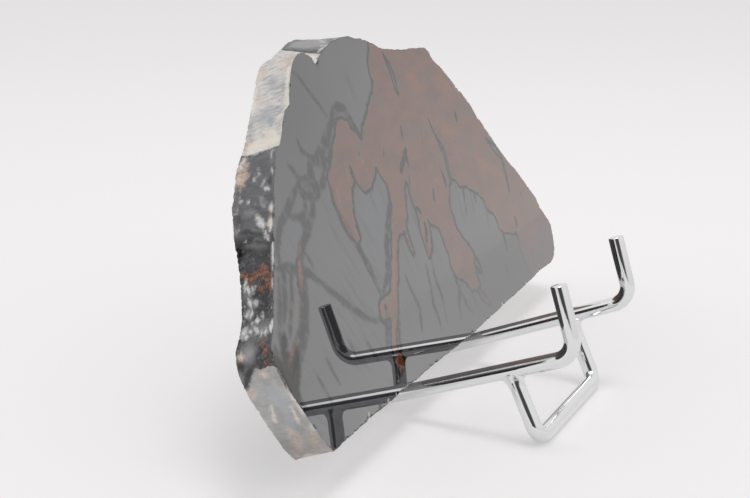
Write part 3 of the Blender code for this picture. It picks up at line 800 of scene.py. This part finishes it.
# Marks on the broken top: the width in the middle, then along and depth into the slab for each point
TOP_FROST_AND_HIGHLIGHT = [
    (1.1, -21.9, 0.3, -21.2, 1.5, -21.3, 4, -21.2, 7, -21, 9.8), (2.2, -24.2, 0.4, -23, 1, -22, 2.4),
    (0.9, -20.4, 1, -18.2, 0.8, -15.7, 0.4), (0.8, -12.6, 3.2, -13.6, 2, -14.4, 0.8),
    (0.8, -16.4, 1.6, -15.4, 0.7), (1.6, -27, 1, -25, 4, -24, 8), (0.5, -11, 4.6, -11.8, 3.9),
]
TOP_DARK_GLASS = [(0.7, -20.9, 3.3, -20.6, 2, -20.5, 1.2), (0.3, -20.1, 10, -20.3, 6.5, -20.1, 4)]
TOP_HAZE_AND_SHEEN = [(11, -18.4, 8.5, -14.5, 4.5, -10, 2.5), (4, -25.5, 0.8, -21.5, 2.6)]
TOP_RISES_FROM = 81.0                    # the broken top is above this, and along between the next two
TOP_STARTS, TOP_ENDS = -28.5, 4


def on_rim(values):
    """Numbers for the points of the sides, with 0 for all others."""
    everywhere = np.zeros(len(slab_points))
    everywhere[:len(side)] = values
    return everywhere


on_side, rim_only = on_rim(left), on_rim(1)
side_place, top_place = slab_points[:, [1, 2]], slab_points[:, [0, 1]]
on_top = (slab_points[:, 2] > TOP_RISES_FROM) & (rim_only > 0)
on_top &= (slab_points[:, 0] > TOP_STARTS) & (slab_points[:, 0] < TOP_ENDS)
for name, side_lines, top_lines in (
        ("frost_and_highlight", SIDE_FROST_AND_HIGHLIGHT, TOP_FROST_AND_HIGHLIGHT), ("dark_glass_and_shade", SIDE_DARK_GLASS_AND_SHADE, TOP_DARK_GLASS), ("haze_and_sheen", SIDE_HAZE_AND_SHEEN, TOP_HAZE_AND_SHEEN),
        ("cream_and_highlight", SIDE_CREAM_AND_HIGHLIGHT, ()), ("clay", SIDE_CLAY, ()), ("blue", SIDE_BLUE, ()),
        ("rusted", SIDE_RUST, ())):
    depth = np.where(on_side > 0.5, streak_depth(side_place, side_lines), FAR_OUT)
    if top_lines:
        beside_top = np.where(on_side > 0.5, -1.5, FAR_OUT)
        depth = np.where(on_top, np.maximum(beside_top, streak_depth(top_place, top_lines)), depth)
    set_attribute(slab_mesh, name, np.clip(depth, -4, 4))
sawn = on_rim(upper_left + lower_left + (1 - left) * 0.8)
sawn[on_top & (slab_points[:, 0] > LEFT_SIDE_ENDS)] = 0
set_attribute(slab_mesh, "sawn", sawn)
set_attribute(slab_mesh, "broken", on_rim(broken))
for name, streaks in (("nick", NICKS), ("nick_shade", NICK_SHADES)):
    depth = np.clip(streak_depth(flat, streaks), -2, 2)
    set_attribute(slab_mesh, name, np.where(rim_only > 0, -2.0, depth))
rust = smoothstep(-0.5, 0.6, streak_depth(flat, RUST_STREAKS))
set_attribute(slab_mesh, "rust", rust * (rim_only == 0))

# ------------------------------------------------------------------------------------------------
# Slab, finishes. The face has a glassy polish, darkened by painted shade where its reflection is darker.
# The broken side is bare glass with frosted bruises and painted highlights, painted grey sheen, clay and
# rust in it, and the sawn sides and back are matt and grey from the saw, with painted shade low down.
# ------------------------------------------------------------------------------------------------
BLACK_GLASS = (0.032, 0.034, 0.038)
BLUISH_GLASS = (0.034, 0.042, 0.050)
MAUVE_GLASS = (0.036, 0.034, 0.042)
SMOKY_AND_SHADED_GLASS = (0.009, 0.007, 0.004)
CHARCOAL_GLASS = (0.003, 0.003, 0.002)
MAHOGANY_DARK, MAHOGANY_LIGHT = (0.100, 0.031, 0.013), (0.142, 0.042, 0.016)
MAHOGANY_EMBER = (0.172, 0.048, 0.007)
MAHOGANY_ASH = (0.092, 0.052, 0.033)
RUST_THREAD = (0.21, 0.075, 0.035)
WISPS = 0.40                             # how dark the thin flow lines in the black glass are
POLISH = 0.012
GLASS_IOR, POLISHED_IOR = 1.5, 1.34      # the polish has a coat that adds the rest of its gloss
SMEARED_POLISH = POLISH + 0.02
VEIN_DULLNESS = 0.22
CLEAR_GLASS_GLOSS = 0.54                 # how much glossier the clear glass is than the dark veins
BROWN_DULLNESS = 0.3
LOW_PAINTED_SHADE = (30.0, 4.0, -60.0, 60.0)    # painted shade where the face's reflection is darker: from and to, upwards and along
HIGH_PAINTED_SHADE = (40.0, 78.0, 0.0, -50.0)
HIGH_PAINTED_SHADE_SHARE = 0.55
PAINTED_SHADE_DULLNESS, PAINTED_SHADE_DARKNESS = 0.45, 0.75
NICK_COLOUR = (0.62, 0.61, 0.55)
NICK_EDGE = (-0.45, 0.3)
NICK_ROUGHNESS = 0.5


def new_group(name, inputs, outputs, kind="ShaderNodeTree"):
    """A node group with sockets of these names and kinds, and its input and output nodes."""
    group = bpy.data.node_groups.new(name, kind)
    for way, sockets in (("INPUT", inputs), ("OUTPUT", outputs)):
        for label, holds in sockets.items():
            group.interface.new_socket(label, in_out=way, socket_type="NodeSocket" + holds)
    return group, group.nodes.new("NodeGroupInput"), group.nodes.new("NodeGroupOutput")


def place_group(tree, group, **values):
    """The outputs of a node group that is placed in a material with its own values."""
    node = add_node(tree, "ShaderNodeGroup", {"node_tree": group}, **values)
    return {output.name: Signal(tree, output) for output in node.outputs}


def attribute(tree, name, output="Fac"):
    """The stored number, or vector, of that name."""
    return signal(tree, "ShaderNodeAttribute", output, {"attribute_name": name})


def blend(share, first, second):
    """A mix of two colours."""
    settings = {"data_type": "RGBA"}
    return signal(share.tree, "ShaderNodeMix", 2, settings, in0=share, in6=first, in7=second)


def noise(place, stretch, scale, detail=3.0, roughness=0.55, offset=(0, 0, 0), turn=(0, 0, 0)):
    """Noise from 0 to 1, drawn out along some axes."""
    moved = signal(place.tree, "ShaderNodeMapping", 0, Vector=place, Scale=stretch, Location=offset,
                   Rotation=turn)
    return signal(place.tree, "ShaderNodeTexNoise", "Fac", Vector=moved, Scale=scale, Detail=detail,
                  Roughness=roughness)


EVEN = (1, 1, 1)                         # noise that isn't drawn out
lava_bands, entry, leave = new_group("lava_bands", {"Wisps": "Float"},
                                     {"Colour": "Color", "Brown": "Float", "Dark": "Float"})
flow_place = attribute(lava_bands, "flow", "Vector")
ragged = noise(flow_place, (1, 0.35, 0.5), scale=0.42, detail=4) - 0.5
feather = noise(flow_place, (1, 0.22, 1), scale=1.5, detail=4, roughness=0.65) - 0.5
patches = noise(flow_place, (1, 0.5, 0.6), scale=0.13, detail=4, offset=(4, 2, 0))
edge = attribute(lava_bands, "mahogany") + ragged * 2.2 + feather * 1.1
brown = edge.ramp(-0.35, 0.4)
dark_rim = edge.ramp(-1.5, -0.6) * edge.ramp(0.2, -0.3)
vein = attribute(lava_bands, "charcoal") + ragged * 1.5 + feather * 1.1
vein_gaps = noise(flow_place, (1, 0.6, 0.6), scale=0.5, detail=4, roughness=0.6, offset=(7, 7, 0))
vein = vein.ramp(-0.75, 0.45) * vein_gaps.ramp(0.30, 0.55, 0.35, 1.0)
wisp = noise(flow_place, (1, 0.10, 0.6), scale=0.5, detail=4)
wisp = wisp.ramp(0.50, 0.74, 0.0, entry.outputs["Wisps"])
# Dark brown glass low on the left, partly painted shade
smoky_and_shaded = (attribute(lava_bands, "smoky_and_shaded") + feather * 1.6).ramp(-0.9, 0.9)
dark = vein.most(dark_rim).most(wisp)
bluish = attribute(lava_bands, "bluish") + (patches - 0.5) * 9.0
black = blend(bluish.ramp(-1.5, 3.0), BLACK_GLASS, BLUISH_GLASS)
mauve = noise(flow_place, (0.7, 0.7, 0.8), scale=0.16, roughness=0.5, offset=(1, 6, 3))
black = blend(mauve.ramp(0.48, 0.62, 0.0, 0.8), black, MAUVE_GLASS)
black = blend(dark, black, CHARCOAL_GLASS)
black = blend(smoky_and_shaded, black, SMOKY_AND_SHADED_GLASS)
cloud = noise(flow_place, (0.45, 0.9, 0.8), scale=0.24, detail=4)
streak = noise(flow_place, (1, 0.2, 1), scale=0.6, roughness=0.5)
mahogany_colour = blend((cloud + streak * 0.22).ramp(0.46, 0.74), MAHOGANY_DARK, MAHOGANY_LIGHT)
blotch = noise(flow_place, (0.45, 1, 0.8), scale=0.30, detail=2, roughness=0.4, offset=(2, 8, 5))
ember = (blotch + attribute(lava_bands, "ember") * 0.045).ramp(0.40, 0.72)
mahogany_colour = blend(ember, mahogany_colour, MAHOGANY_EMBER)
ashy = noise(flow_place, (0.6, 0.8, 0.8), scale=0.22, roughness=0.5, offset=(5, 1, 9))
mahogany_colour = blend(ashy.ramp(0.52, 0.68, 0.0, 0.8), mahogany_colour, MAHOGANY_ASH)
fleck = noise(flow_place, (1, 0.3, 1), scale=0.9, detail=2, roughness=0.5, offset=(9, 3, 1))
mahogany_colour = blend(fleck.ramp(0.70, 0.78, 0.0, 0.5), mahogany_colour, CHARCOAL_GLASS)
colour = blend(brown, black, mahogany_colour)
rust_gaps = noise(flow_place, (1, 0.4, 1), scale=1.6, detail=4, roughness=0.6).ramp(0.3, 0.65, 0.0, 0.8)
colour = blend(attribute(lava_bands, "rust") * rust_gaps, colour, RUST_THREAD)
for label, result in (("Colour", colour), ("Brown", brown), ("Dark", (dark * 0.55).most(smoky_and_shaded))):
    lava_bands.links.new(result.socket, leave.inputs[label])

polished, tree = new_material("polished_obsidian")
bands = place_group(tree, lava_bands, Wisps=WISPS)
rock = attribute(tree, "place", "Vector")
smear = noise(rock, EVEN, scale=0.06, detail=4).ramp(0.35, 0.7, POLISH, SMEARED_POLISH)
shine = attribute(tree, "charcoal").ramp(0.5, 1.4, 0.0, VEIN_DULLNESS) + smear
# Painted shade: the face's colour is darkened and its coat thinned low on the right and high on the left,
# where its reflection is darker
low_painted_shade, high_painted_shade = [rock.part("Z").ramp(*corner[:2]) * rock.part("X").ramp(*corner[2:])
                           for corner in (LOW_PAINTED_SHADE, HIGH_PAINTED_SHADE)]
painted_shade = low_painted_shade.most(high_painted_shade * HIGH_PAINTED_SHADE_SHARE)
dark = bands["Dark"].most(bands["Brown"] * BROWN_DULLNESS).most(painted_shade * PAINTED_SHADE_DULLNESS)
nick = attribute(tree, "nick").ramp(*NICK_EDGE)
nick_shade = attribute(tree, "nick_shade").ramp(*NICK_EDGE)
colour = blend(painted_shade * PAINTED_SHADE_DARKNESS, bands["Colour"], CHARCOAL_GLASS)
colour = blend(nick, blend(nick_shade, colour, CHARCOAL_GLASS), NICK_COLOUR)
shine = shine + nick.most(nick_shade) * NICK_ROUGHNESS
principled(tree, Base_Color=colour, Roughness=shine, IOR=POLISHED_IOR, Coat_Roughness=POLISH,
           Coat_Weight=dark.rest() * CLEAR_GLASS_GLOSS * nick.rest())

SAWN_SHADE, SAWN_PALE = (0.44, 0.44, 0.44), (0.80, 0.79, 0.77)
SAWN_WARM = (0.76, 0.69, 0.62)
SAWN_DIM = (0.33, 0.325, 0.325)
SAWN_BLUE = (0.45, 0.475, 0.505)
SAWN_BROWN = (0.30, 0.19, 0.15)
GLASS_DUST_AND_SHEEN = (0.40, 0.40, 0.41)
FROST_AND_HIGHLIGHT_WHITE = (0.88, 0.88, 0.87)
CREAM = (0.90, 0.84, 0.75)
CLAY_DARK, CLAY = (0.56, 0.45, 0.37), (0.88, 0.70, 0.59)
RUST_DARK, RUST = (0.085, 0.040, 0.031), (0.32, 0.150, 0.095)
PAINTED_FOOT_SHADE = (0.16, 0.145, 0.14)         # painted shade: the lowest corner is darkened near the table
SAW_LINE_TURN = (math.radians(-9), 0, 0)
UPPER_SAWN = (24.0, 28.0)                # heights between which the lower sawn part's tones give way
UPPER_SAWN_LINES = (40.0, 60.0)
UPPER_BREAK = (48.0, 51.0)               # above, the broken glass is greyed all over, dust and painted sheen
PAINTED_FOOT_SHADE_REACH = (15.0, 4.0)

rough_side, tree = new_material("broken_and_sawn_obsidian")
bands = place_group(tree, lava_bands, Wisps=WISPS)
rock = attribute(tree, "place", "Vector")
grain = noise(rock, EVEN, scale=1.6, detail=6, roughness=0.62)
lumps = noise(rock, EVEN, scale=0.42, detail=4, roughness=0.6)
patches = noise(rock, EVEN, scale=0.16, offset=(3, 1, 7))
saw_lines = noise(rock, (0.5, 0.13, 1), scale=2.1, detail=5, roughness=0.62, turn=SAW_LINE_TURN)
ragged = (grain - 0.5) * 1.3 + (lumps - 0.5) * 1.5
height = rock.part("Z")


def mark_mask(name, low, high, most=1.0, wander=1.0):
    """How much of a mark of that name covers the side, with a ragged edge."""
    return (attribute(tree, name) + ragged * wander).ramp(low, high, 0.0, most)


sawn_mask = (attribute(tree, "sawn") + (grain - 0.5) * 0.8).ramp(0.35, 0.6)
line_strength = height.ramp(*UPPER_SAWN_LINES, 0.40, 0.85)
sawn_tone = patches * 0.45 + lumps * 0.40 + (saw_lines - 0.5) * line_strength + grain * 0.22
pale = blend(sawn_tone.ramp(0.36, 0.66), SAWN_SHADE, SAWN_PALE)
pale = blend(height.ramp(*UPPER_SAWN, 0.62, 0.0), pale, SAWN_DIM)
mottle = noise(rock, (1, 1, 0.7), scale=0.34, roughness=0.5, offset=(2, 5, 1)).ramp(0.50, 0.66)
pale = blend(mottle * height.ramp(*UPPER_SAWN, 0.5, 0.15), pale, SAWN_BLUE)
warm = patches.ramp(0.40, 0.72, 0.0, 0.45) * height.ramp(*UPPER_SAWN, 0.4, 1.0)
pale = blend(warm, pale, SAWN_WARM)
pale = blend(mark_mask("blue", -1.3, 1.6, 0.70), pale, SAWN_BLUE)
pale = blend(bands["Brown"] * 0.45, pale, SAWN_BROWN)
# Grey dust on the broken glass, with painted sheen in the haze marks and high up
dust_and_sheen = (grain * 0.5 + lumps * 0.6).ramp(0.48, 0.72, 0.02, 0.30)
dust_and_sheen = dust_and_sheen.most(height.ramp(*UPPER_BREAK, 0.0, 0.26)) * attribute(tree, "broken")
dust_and_sheen = dust_and_sheen.most(mark_mask("haze_and_sheen", -1.2, 3.6, 1.0, 0.6))
colour = blend(sawn_mask, blend(dust_and_sheen, bands["Colour"], GLASS_DUST_AND_SHEEN), pale)
clay_mask = mark_mask("clay", -1.1, 0.9) * (attribute(tree, "broken") * 0.24 + 0.70)
clay_tone = blend((grain * 0.4 + lumps * 0.6).ramp(0.35, 0.62), CLAY_DARK, CLAY)
rust_mask = mark_mask("rusted", -0.45, 0.35, 0.95)
rust_tone = blend(grain.ramp(0.40, 0.62), RUST_DARK, RUST)
# Black glass, and painted shade along the face's edge low down
dark_glass_and_shade_mask = mark_mask("dark_glass_and_shade", -0.45, 0.4, 0.9)
# Frosted bruises and painted highlights, in white
frost_and_highlight_mask = mark_mask("frost_and_highlight", -0.40, 0.60, 0.9)
# Painted shade on the sawn side, darker towards the table
painted_foot_shade_mask = height.ramp(*PAINTED_FOOT_SHADE_REACH, 0.0, 0.38) * attribute(tree, "sawn")
# Cream crust and painted highlight
cream_and_highlight_mask = mark_mask("cream_and_highlight", -0.7, 0.5, 0.85)
for mask, tone in ((clay_mask, clay_tone), (cream_and_highlight_mask, CREAM), (rust_mask, rust_tone),
                   (dark_glass_and_shade_mask, BLACK_GLASS), (frost_and_highlight_mask, FROST_AND_HIGHLIGHT_WHITE), (painted_foot_shade_mask, PAINTED_FOOT_SHADE)):
    colour = blend(mask, colour, tone)
dull = (sawn_mask * dark_glass_and_shade_mask.rest()).most(clay_mask).most(frost_and_highlight_mask).most(rust_mask).most(dust_and_sheen * 1.2)
relief = (saw_lines * 0.8 + grain) * dull.most(0.06) + frost_and_highlight_mask * 0.4
principled(tree, Base_Color=colour, Roughness=dull.ramp(0.0, 0.8, 0.11, 0.65), IOR=GLASS_IOR,
           Normal=relief.bump(0.9, 0.25 * MM))

SAW_CENTRE = (-150.0, 0.0, 60.0)         # the blade's arcs run round this point
SAW_DUST = (0.33, 0.33, 0.335)
SLAB_CREASE = math.radians(35)           # edges sharper than this stay sharp

sawn_back, tree = new_material("sawn_obsidian")
bands = place_group(tree, lava_bands, Wisps=WISPS)
rock = attribute(tree, "place", "Vector")
blade = signal(tree, "ShaderNodeVectorMath", "Value", {"operation": "DISTANCE"}, in0=rock, in1=SAW_CENTRE)
rings = signal(tree, "ShaderNodeTexNoise", "Fac", {"noise_dimensions": "1D"}, W=blade, Scale=1.4,
               Detail=4.0, Roughness=0.7)
grain = noise(rock, EVEN, scale=1.2, detail=5, roughness=0.65)
dust = (grain * 0.4 + rings * 0.45).ramp(0.3, 0.65, 0.25, 0.62)
principled(tree, Base_Color=blend(dust, bands["Colour"], SAW_DUST), Roughness=0.5, IOR=GLASS_IOR,
           Normal=(rings + grain * 0.5).bump(0.6, 0.12 * MM))

slab = object_from_mesh("polished_slab", slab_mesh, rough_side)
slab_mesh.materials.append(polished)
slab_mesh.materials.append(sawn_back)
kinds = np.repeat([0, 1, 2], [side_face_count, len(face_triangles), len(back_triangles)]).astype(np.int32)
for number in np.flatnonzero(kinds):
    if chipped[list(slab_faces[number])].any():
        kinds[number] = 0
slab_mesh.polygons.foreach_set("material_index", kinds)
slab_mesh.shade_smooth()
slab_mesh.polygons.foreach_set("use_smooth", kinds == 0)
slab_mesh.set_sharp_from_angle(angle=SLAB_CREASE)
mirrors_card.objects.link(slab)
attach(slab, "root")
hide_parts("obsidian_slab")

# ------------------------------------------------------------------------------------------------
# Easel, long wire. One length of plated steel wire, bent cold: two prongs in front, two arms that run
# down to the table, two heels, and the loop that the slab leans on. Lengths in millimetres, in the
# easel's own frame: across, back along the arms, up square to them.
# ------------------------------------------------------------------------------------------------
WIRE_RADIUS = 1.93
WIRE_SIDES = 40
CUT_END_ROUNDING = 0.28
BEND_STEPS = 14
WIRE_CREASE = math.radians(50)
ARM_HALF_SPACING = 22.7
ARM_CLOSING = 0.026
CORNER_TWIST = 0.4
CORNER_SKEW = 0.27
PRONG_LENGTH = 16.8
PRONG_LEAN = math.radians(4.5)
PRONG_BEND, TABLE_BEND, HEEL_BEND, REST_BEND = 5.0, 12.0, 6.0, 6.0
HEEL_REACH = 72.0
REST_HALF_WIDTH, REST_HEIGHT = 20.0, 40.0
CAD_WIRE_RADIUS = 2.0
REST_GAP = 0.3                           # between the slab and the loop
REST_BACK = THICKNESS + REST_GAP + CAD_WIRE_RADIUS
WELD_BACK, WELD_HALF_SPACING = 17.0, 22.2
FOOT_DROP, FOOT_FORWARD = 17.2, 1.9
FOOT_HALF_WIDTH, FOOT_SHIFT = 21.7, -2.1
CHROME_TONE = (0.775, 0.785, 0.79)


def foot_corner(side):
    """Where a leg turns into the foot bar."""
    return Vector((FOOT_SHIFT + side * FOOT_HALF_WIDTH, WELD_BACK - FOOT_FORWARD, -FOOT_DROP))


table_level = (easel_turn @ foot_corner(1)).z


def side_corners(side):
    """Corners of one side of the long wire, from the prong's cut end to the top of the loop."""
    corner = Vector((side * ARM_HALF_SPACING, -side * CORNER_SKEW, side * CORNER_TWIST))
    prong = Vector((0, -math.sin(PRONG_LEAN), math.cos(PRONG_LEAN)))
    landing = Vector((0, -table_level / math.tan(ARM_SLOPE), table_level))
    heel = Vector((0, HEEL_REACH, table_level))
    landing.x = heel.x = side * (ARM_HALF_SPACING - ARM_CLOSING * landing.length)
    rest = slab_in_easel @ Vector((side * REST_HALF_WIDTH, REST_BACK, REST_HEIGHT))
    to_easel = easel_turn.inverted()
    return [corner + prong * PRONG_LENGTH, corner, to_easel @ landing, to_easel @ heel, rest]


# A guide line gets round bends and becomes a smooth round wire with flat ends
bent_wire_tree, entry, leave = new_group(
    "bent_wire", {"Guide": "Geometry", "Wire Radius": "Float", "Sides": "Int", "Bend Steps": "Int",
                  "Finish": "Material"}, {"Wire": "Geometry"}, "GeometryNodeTree")
line = signal(bent_wire_tree, "GeometryNodeMeshToCurve", 0, Mesh=entry.outputs["Guide"])
bend = signal(bent_wire_tree, "GeometryNodeInputNamedAttribute", "Attribute", {"data_type": "FLOAT"},
              Name="bend_radius")
bent = signal(bent_wire_tree, "GeometryNodeFilletCurve", 0, {"mode": "POLY"}, Curve=line,
              Count=entry.outputs["Bend Steps"], Radius=bend)
section = signal(bent_wire_tree, "GeometryNodeCurvePrimitiveCircle", 0, Resolution=entry.outputs["Sides"],
                 Radius=entry.outputs["Wire Radius"])
tube = signal(bent_wire_tree, "GeometryNodeCurveToMesh", 0, Curve=bent, Profile_Curve=section,
              Fill_Caps=True)
whole = signal(bent_wire_tree, "GeometryNodeRealizeInstances", 0, Geometry=tube)
done = signal(bent_wire_tree, "GeometryNodeSetMaterial", 0, Geometry=whole,
              Material=entry.outputs["Finish"])
bent_wire_tree.links.new(done.socket, leave.inputs["Wire"])


def bent_wire(name, corners, bends, finish):
    """A plain mesh of round wire through these corners, with the cut ends a little rounded."""
    guide = bpy.data.meshes.new(name + "_guide")
    world = [easel_place @ corner * MM for corner in corners]
    guide.from_pydata(world, [(k, k + 1) for k in range(len(world) - 1)], [])
    set_attribute(guide, "bend_radius", np.array(bends) * MM)
    maker = bpy.data.objects.new(name + "_guide", guide)
    bpy.context.scene.collection.objects.link(maker)
    modifier = maker.modifiers.new("bent_wire", "NODES")
    modifier.node_group = bent_wire_tree
    values = {"Wire Radius": WIRE_RADIUS * MM, "Sides": WIRE_SIDES, "Bend Steps": BEND_STEPS,
              "Finish": finish}
    for item in bent_wire_tree.interface.items_tree:
        if item.in_out == "INPUT" and item.name in values:
            modifier[item.identifier] = values[item.name]
    bpy.context.view_layer.update()
    mesh = bpy.data.meshes.new_from_object(maker.evaluated_get(bpy.context.evaluated_depsgraph_get()))
    bpy.data.objects.remove(maker)
    work = bmesh.new()
    work.from_mesh(mesh)
    bmesh.ops.remove_doubles(work, verts=work.verts, dist=1e-6)
    ends = [face for face in work.faces if len(face.verts) > 4]
    rims = [edge for face in ends for edge in face.edges]
    bmesh.ops.bevel(work, geom=rims, offset=CUT_END_ROUNDING * MM, segments=3, profile=0.5,
                    affect="EDGES")
    bmesh.ops.recalc_face_normals(work, faces=work.faces)
    work.to_mesh(mesh)
    work.free()
    piece = object_from_mesh(name, mesh, finish)
    mesh.shade_smooth()
    mesh.set_sharp_from_angle(angle=WIRE_CREASE)
    return piece


chrome, tree = new_material("chrome_plated_wire")
wire_place = signal(tree, "ShaderNodeTexCoord", "Object")
dents = noise(wire_place, EVEN, scale=260.0, detail=2, roughness=0.5)
pits = noise(wire_place, EVEN, scale=2600.0, detail=2, roughness=0.6)
principled(tree, Base_Color=CHROME_TONE, Metallic=1.0, Roughness=pits.ramp(0.45, 0.75, 0.045, 0.12),
           Normal=(dents + pits * 0.05).bump(0.5, 0.045 * MM))

cradle_bends = [0, PRONG_BEND, TABLE_BEND, HEEL_BEND, REST_BEND]
cradle_corners = side_corners(1) + side_corners(-1)[::-1]
cradle = bent_wire("long_wire", cradle_corners, cradle_bends + cradle_bends[::-1], chrome)
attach(cradle, "root")
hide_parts("cradle_wire")

# ------------------------------------------------------------------------------------------------
# Easel, front foot. A short wire bent into a U stands under the arms. Its ends are welded to them
# before plating, so a smooth fillet runs from each leg into its arm. One weld has rusted.
# ------------------------------------------------------------------------------------------------
FOOT_BEND = 3.2
WELD_GAP = 0.55
FILLET_START = 4.3                       # below the arm's axis
FILLET_ALONG, FILLET_ACROSS = 3.5, 1.85  # half size of the fillet where it meets the arm
FILLET_RINGS = 10
SUNK, TUCKED_IN = 0.03, 0.06             # the fillet's ends lie just inside the arm and the leg
LOWER_TUCK, UPPER_TUCK = 0.3, -0.4
WELD_RUST = (0.16, 0.055, 0.022)
RUST_BELOW, RUST_BEHIND = 2.2, 1.5       # middle of the rust, from where leg and arm meet
RUST_CORE, RUST_REACH = 1.0, 3.2


def weld_point(side):
    """Where a leg's axis meets its arm's axis."""
    landing_back = cradle_corners[2].y
    height = side * CORNER_TWIST * (1 - WELD_BACK / landing_back)
    return Vector((side * WELD_HALF_SPACING, WELD_BACK, height))


foot_line = []
for side_sign in (1, -1):
    weld = weld_point(side_sign)
    leg = foot_corner(side_sign) - weld
    end = weld + leg * (CAD_WIRE_RADIUS + WELD_GAP) / abs(leg.z)
    foot_line.append([end, foot_corner(side_sign)])
foot_line = foot_line[0] + foot_line[1][::-1]
foot = bent_wire("foot_wire", foot_line, [0, FOOT_BEND, FOOT_BEND, 0], chrome)
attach(foot, "root")
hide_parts("front_foot")

weld_finish, tree = new_material("plated_weld")
speckle = noise(signal(tree, "ShaderNodeTexCoord", "Object"), EVEN, scale=900.0, detail=4, roughness=0.65)
rust_mask = (attribute(tree, "weld_rust") + (speckle - 0.5) * 1.6).ramp(0.35, 0.7)
principled(tree, Base_Color=blend(rust_mask, CHROME_TONE, WELD_RUST), Metallic=rust_mask.rest(),
           Roughness=rust_mask.ramp(0.0, 1.0, 0.07, 0.7), Normal=speckle.bump(0.6, 0.10 * MM))


def weld_fillet(name, side):
    """The flare from a leg's round section to the underside of its arm, as one closed piece."""
    weld = weld_point(side)
    leg = (foot_corner(side) - weld) / abs((foot_corner(side) - weld).z)
    rings = []
    for ring in range(FILLET_RINGS + 2):
        swing = min(max((ring - 1) / (FILLET_RINGS - 1), 0), 1) * math.pi / 2
        inner = TUCKED_IN if ring in (0, FILLET_RINGS + 1) else 0.0
        tuck = {0: LOWER_TUCK, FILLET_RINGS + 1: UPPER_TUCK}.get(ring, 0.0)
        points = []
        for turn in np.linspace(0, 2 * math.pi, WIRE_SIDES, endpoint=False):
            flare = 1 - math.cos(swing)
            across = (WIRE_RADIUS + (FILLET_ACROSS - WIRE_RADIUS) * flare - inner) * math.sin(turn)
            along = (WIRE_RADIUS + (FILLET_ALONG - WIRE_RADIUS) * flare - inner) * math.cos(turn)
            arm_under = math.sqrt(max(WIRE_RADIUS**2 - across**2, 0)) - SUNK
            down = FILLET_START + (arm_under - FILLET_START) * math.sin(swing) + tuck
            points.append(weld + leg * down + Vector((across, along, 0)))
        rings.append(points)
    work = bmesh.new()
    verts = [[work.verts.new(easel_place @ point * MM) for point in ring] for ring in rings]
    for lower, upper in zip(verts, verts[1:]):
        for k in range(WIRE_SIDES):
            after = (k + 1) % WIRE_SIDES
            work.faces.new((lower[k], lower[after], upper[after], upper[k]))
    work.faces.new(verts[0])
    work.faces.new(verts[-1])
    bmesh.ops.recalc_face_normals(work, faces=work.faces)
    mesh = bpy.data.meshes.new(name)
    work.to_mesh(mesh)
    work.free()
    places = np.array([point for ring in rings for point in ring])
    rust_middle = weld + leg * RUST_BELOW + Vector((0, RUST_BEHIND, 0))
    away = np.linalg.norm(places - np.array(rust_middle), axis=1)
    rusted = (1 - smoothstep(RUST_CORE, RUST_REACH, away)) if side > 0 else np.zeros(len(places))
    set_attribute(mesh, "weld_rust", rusted)
    piece = object_from_mesh(name, mesh, weld_finish)
    mesh.shade_smooth()
    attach(piece, "root")


weld_fillet("right_weld", 1)
weld_fillet("left_weld", -1)
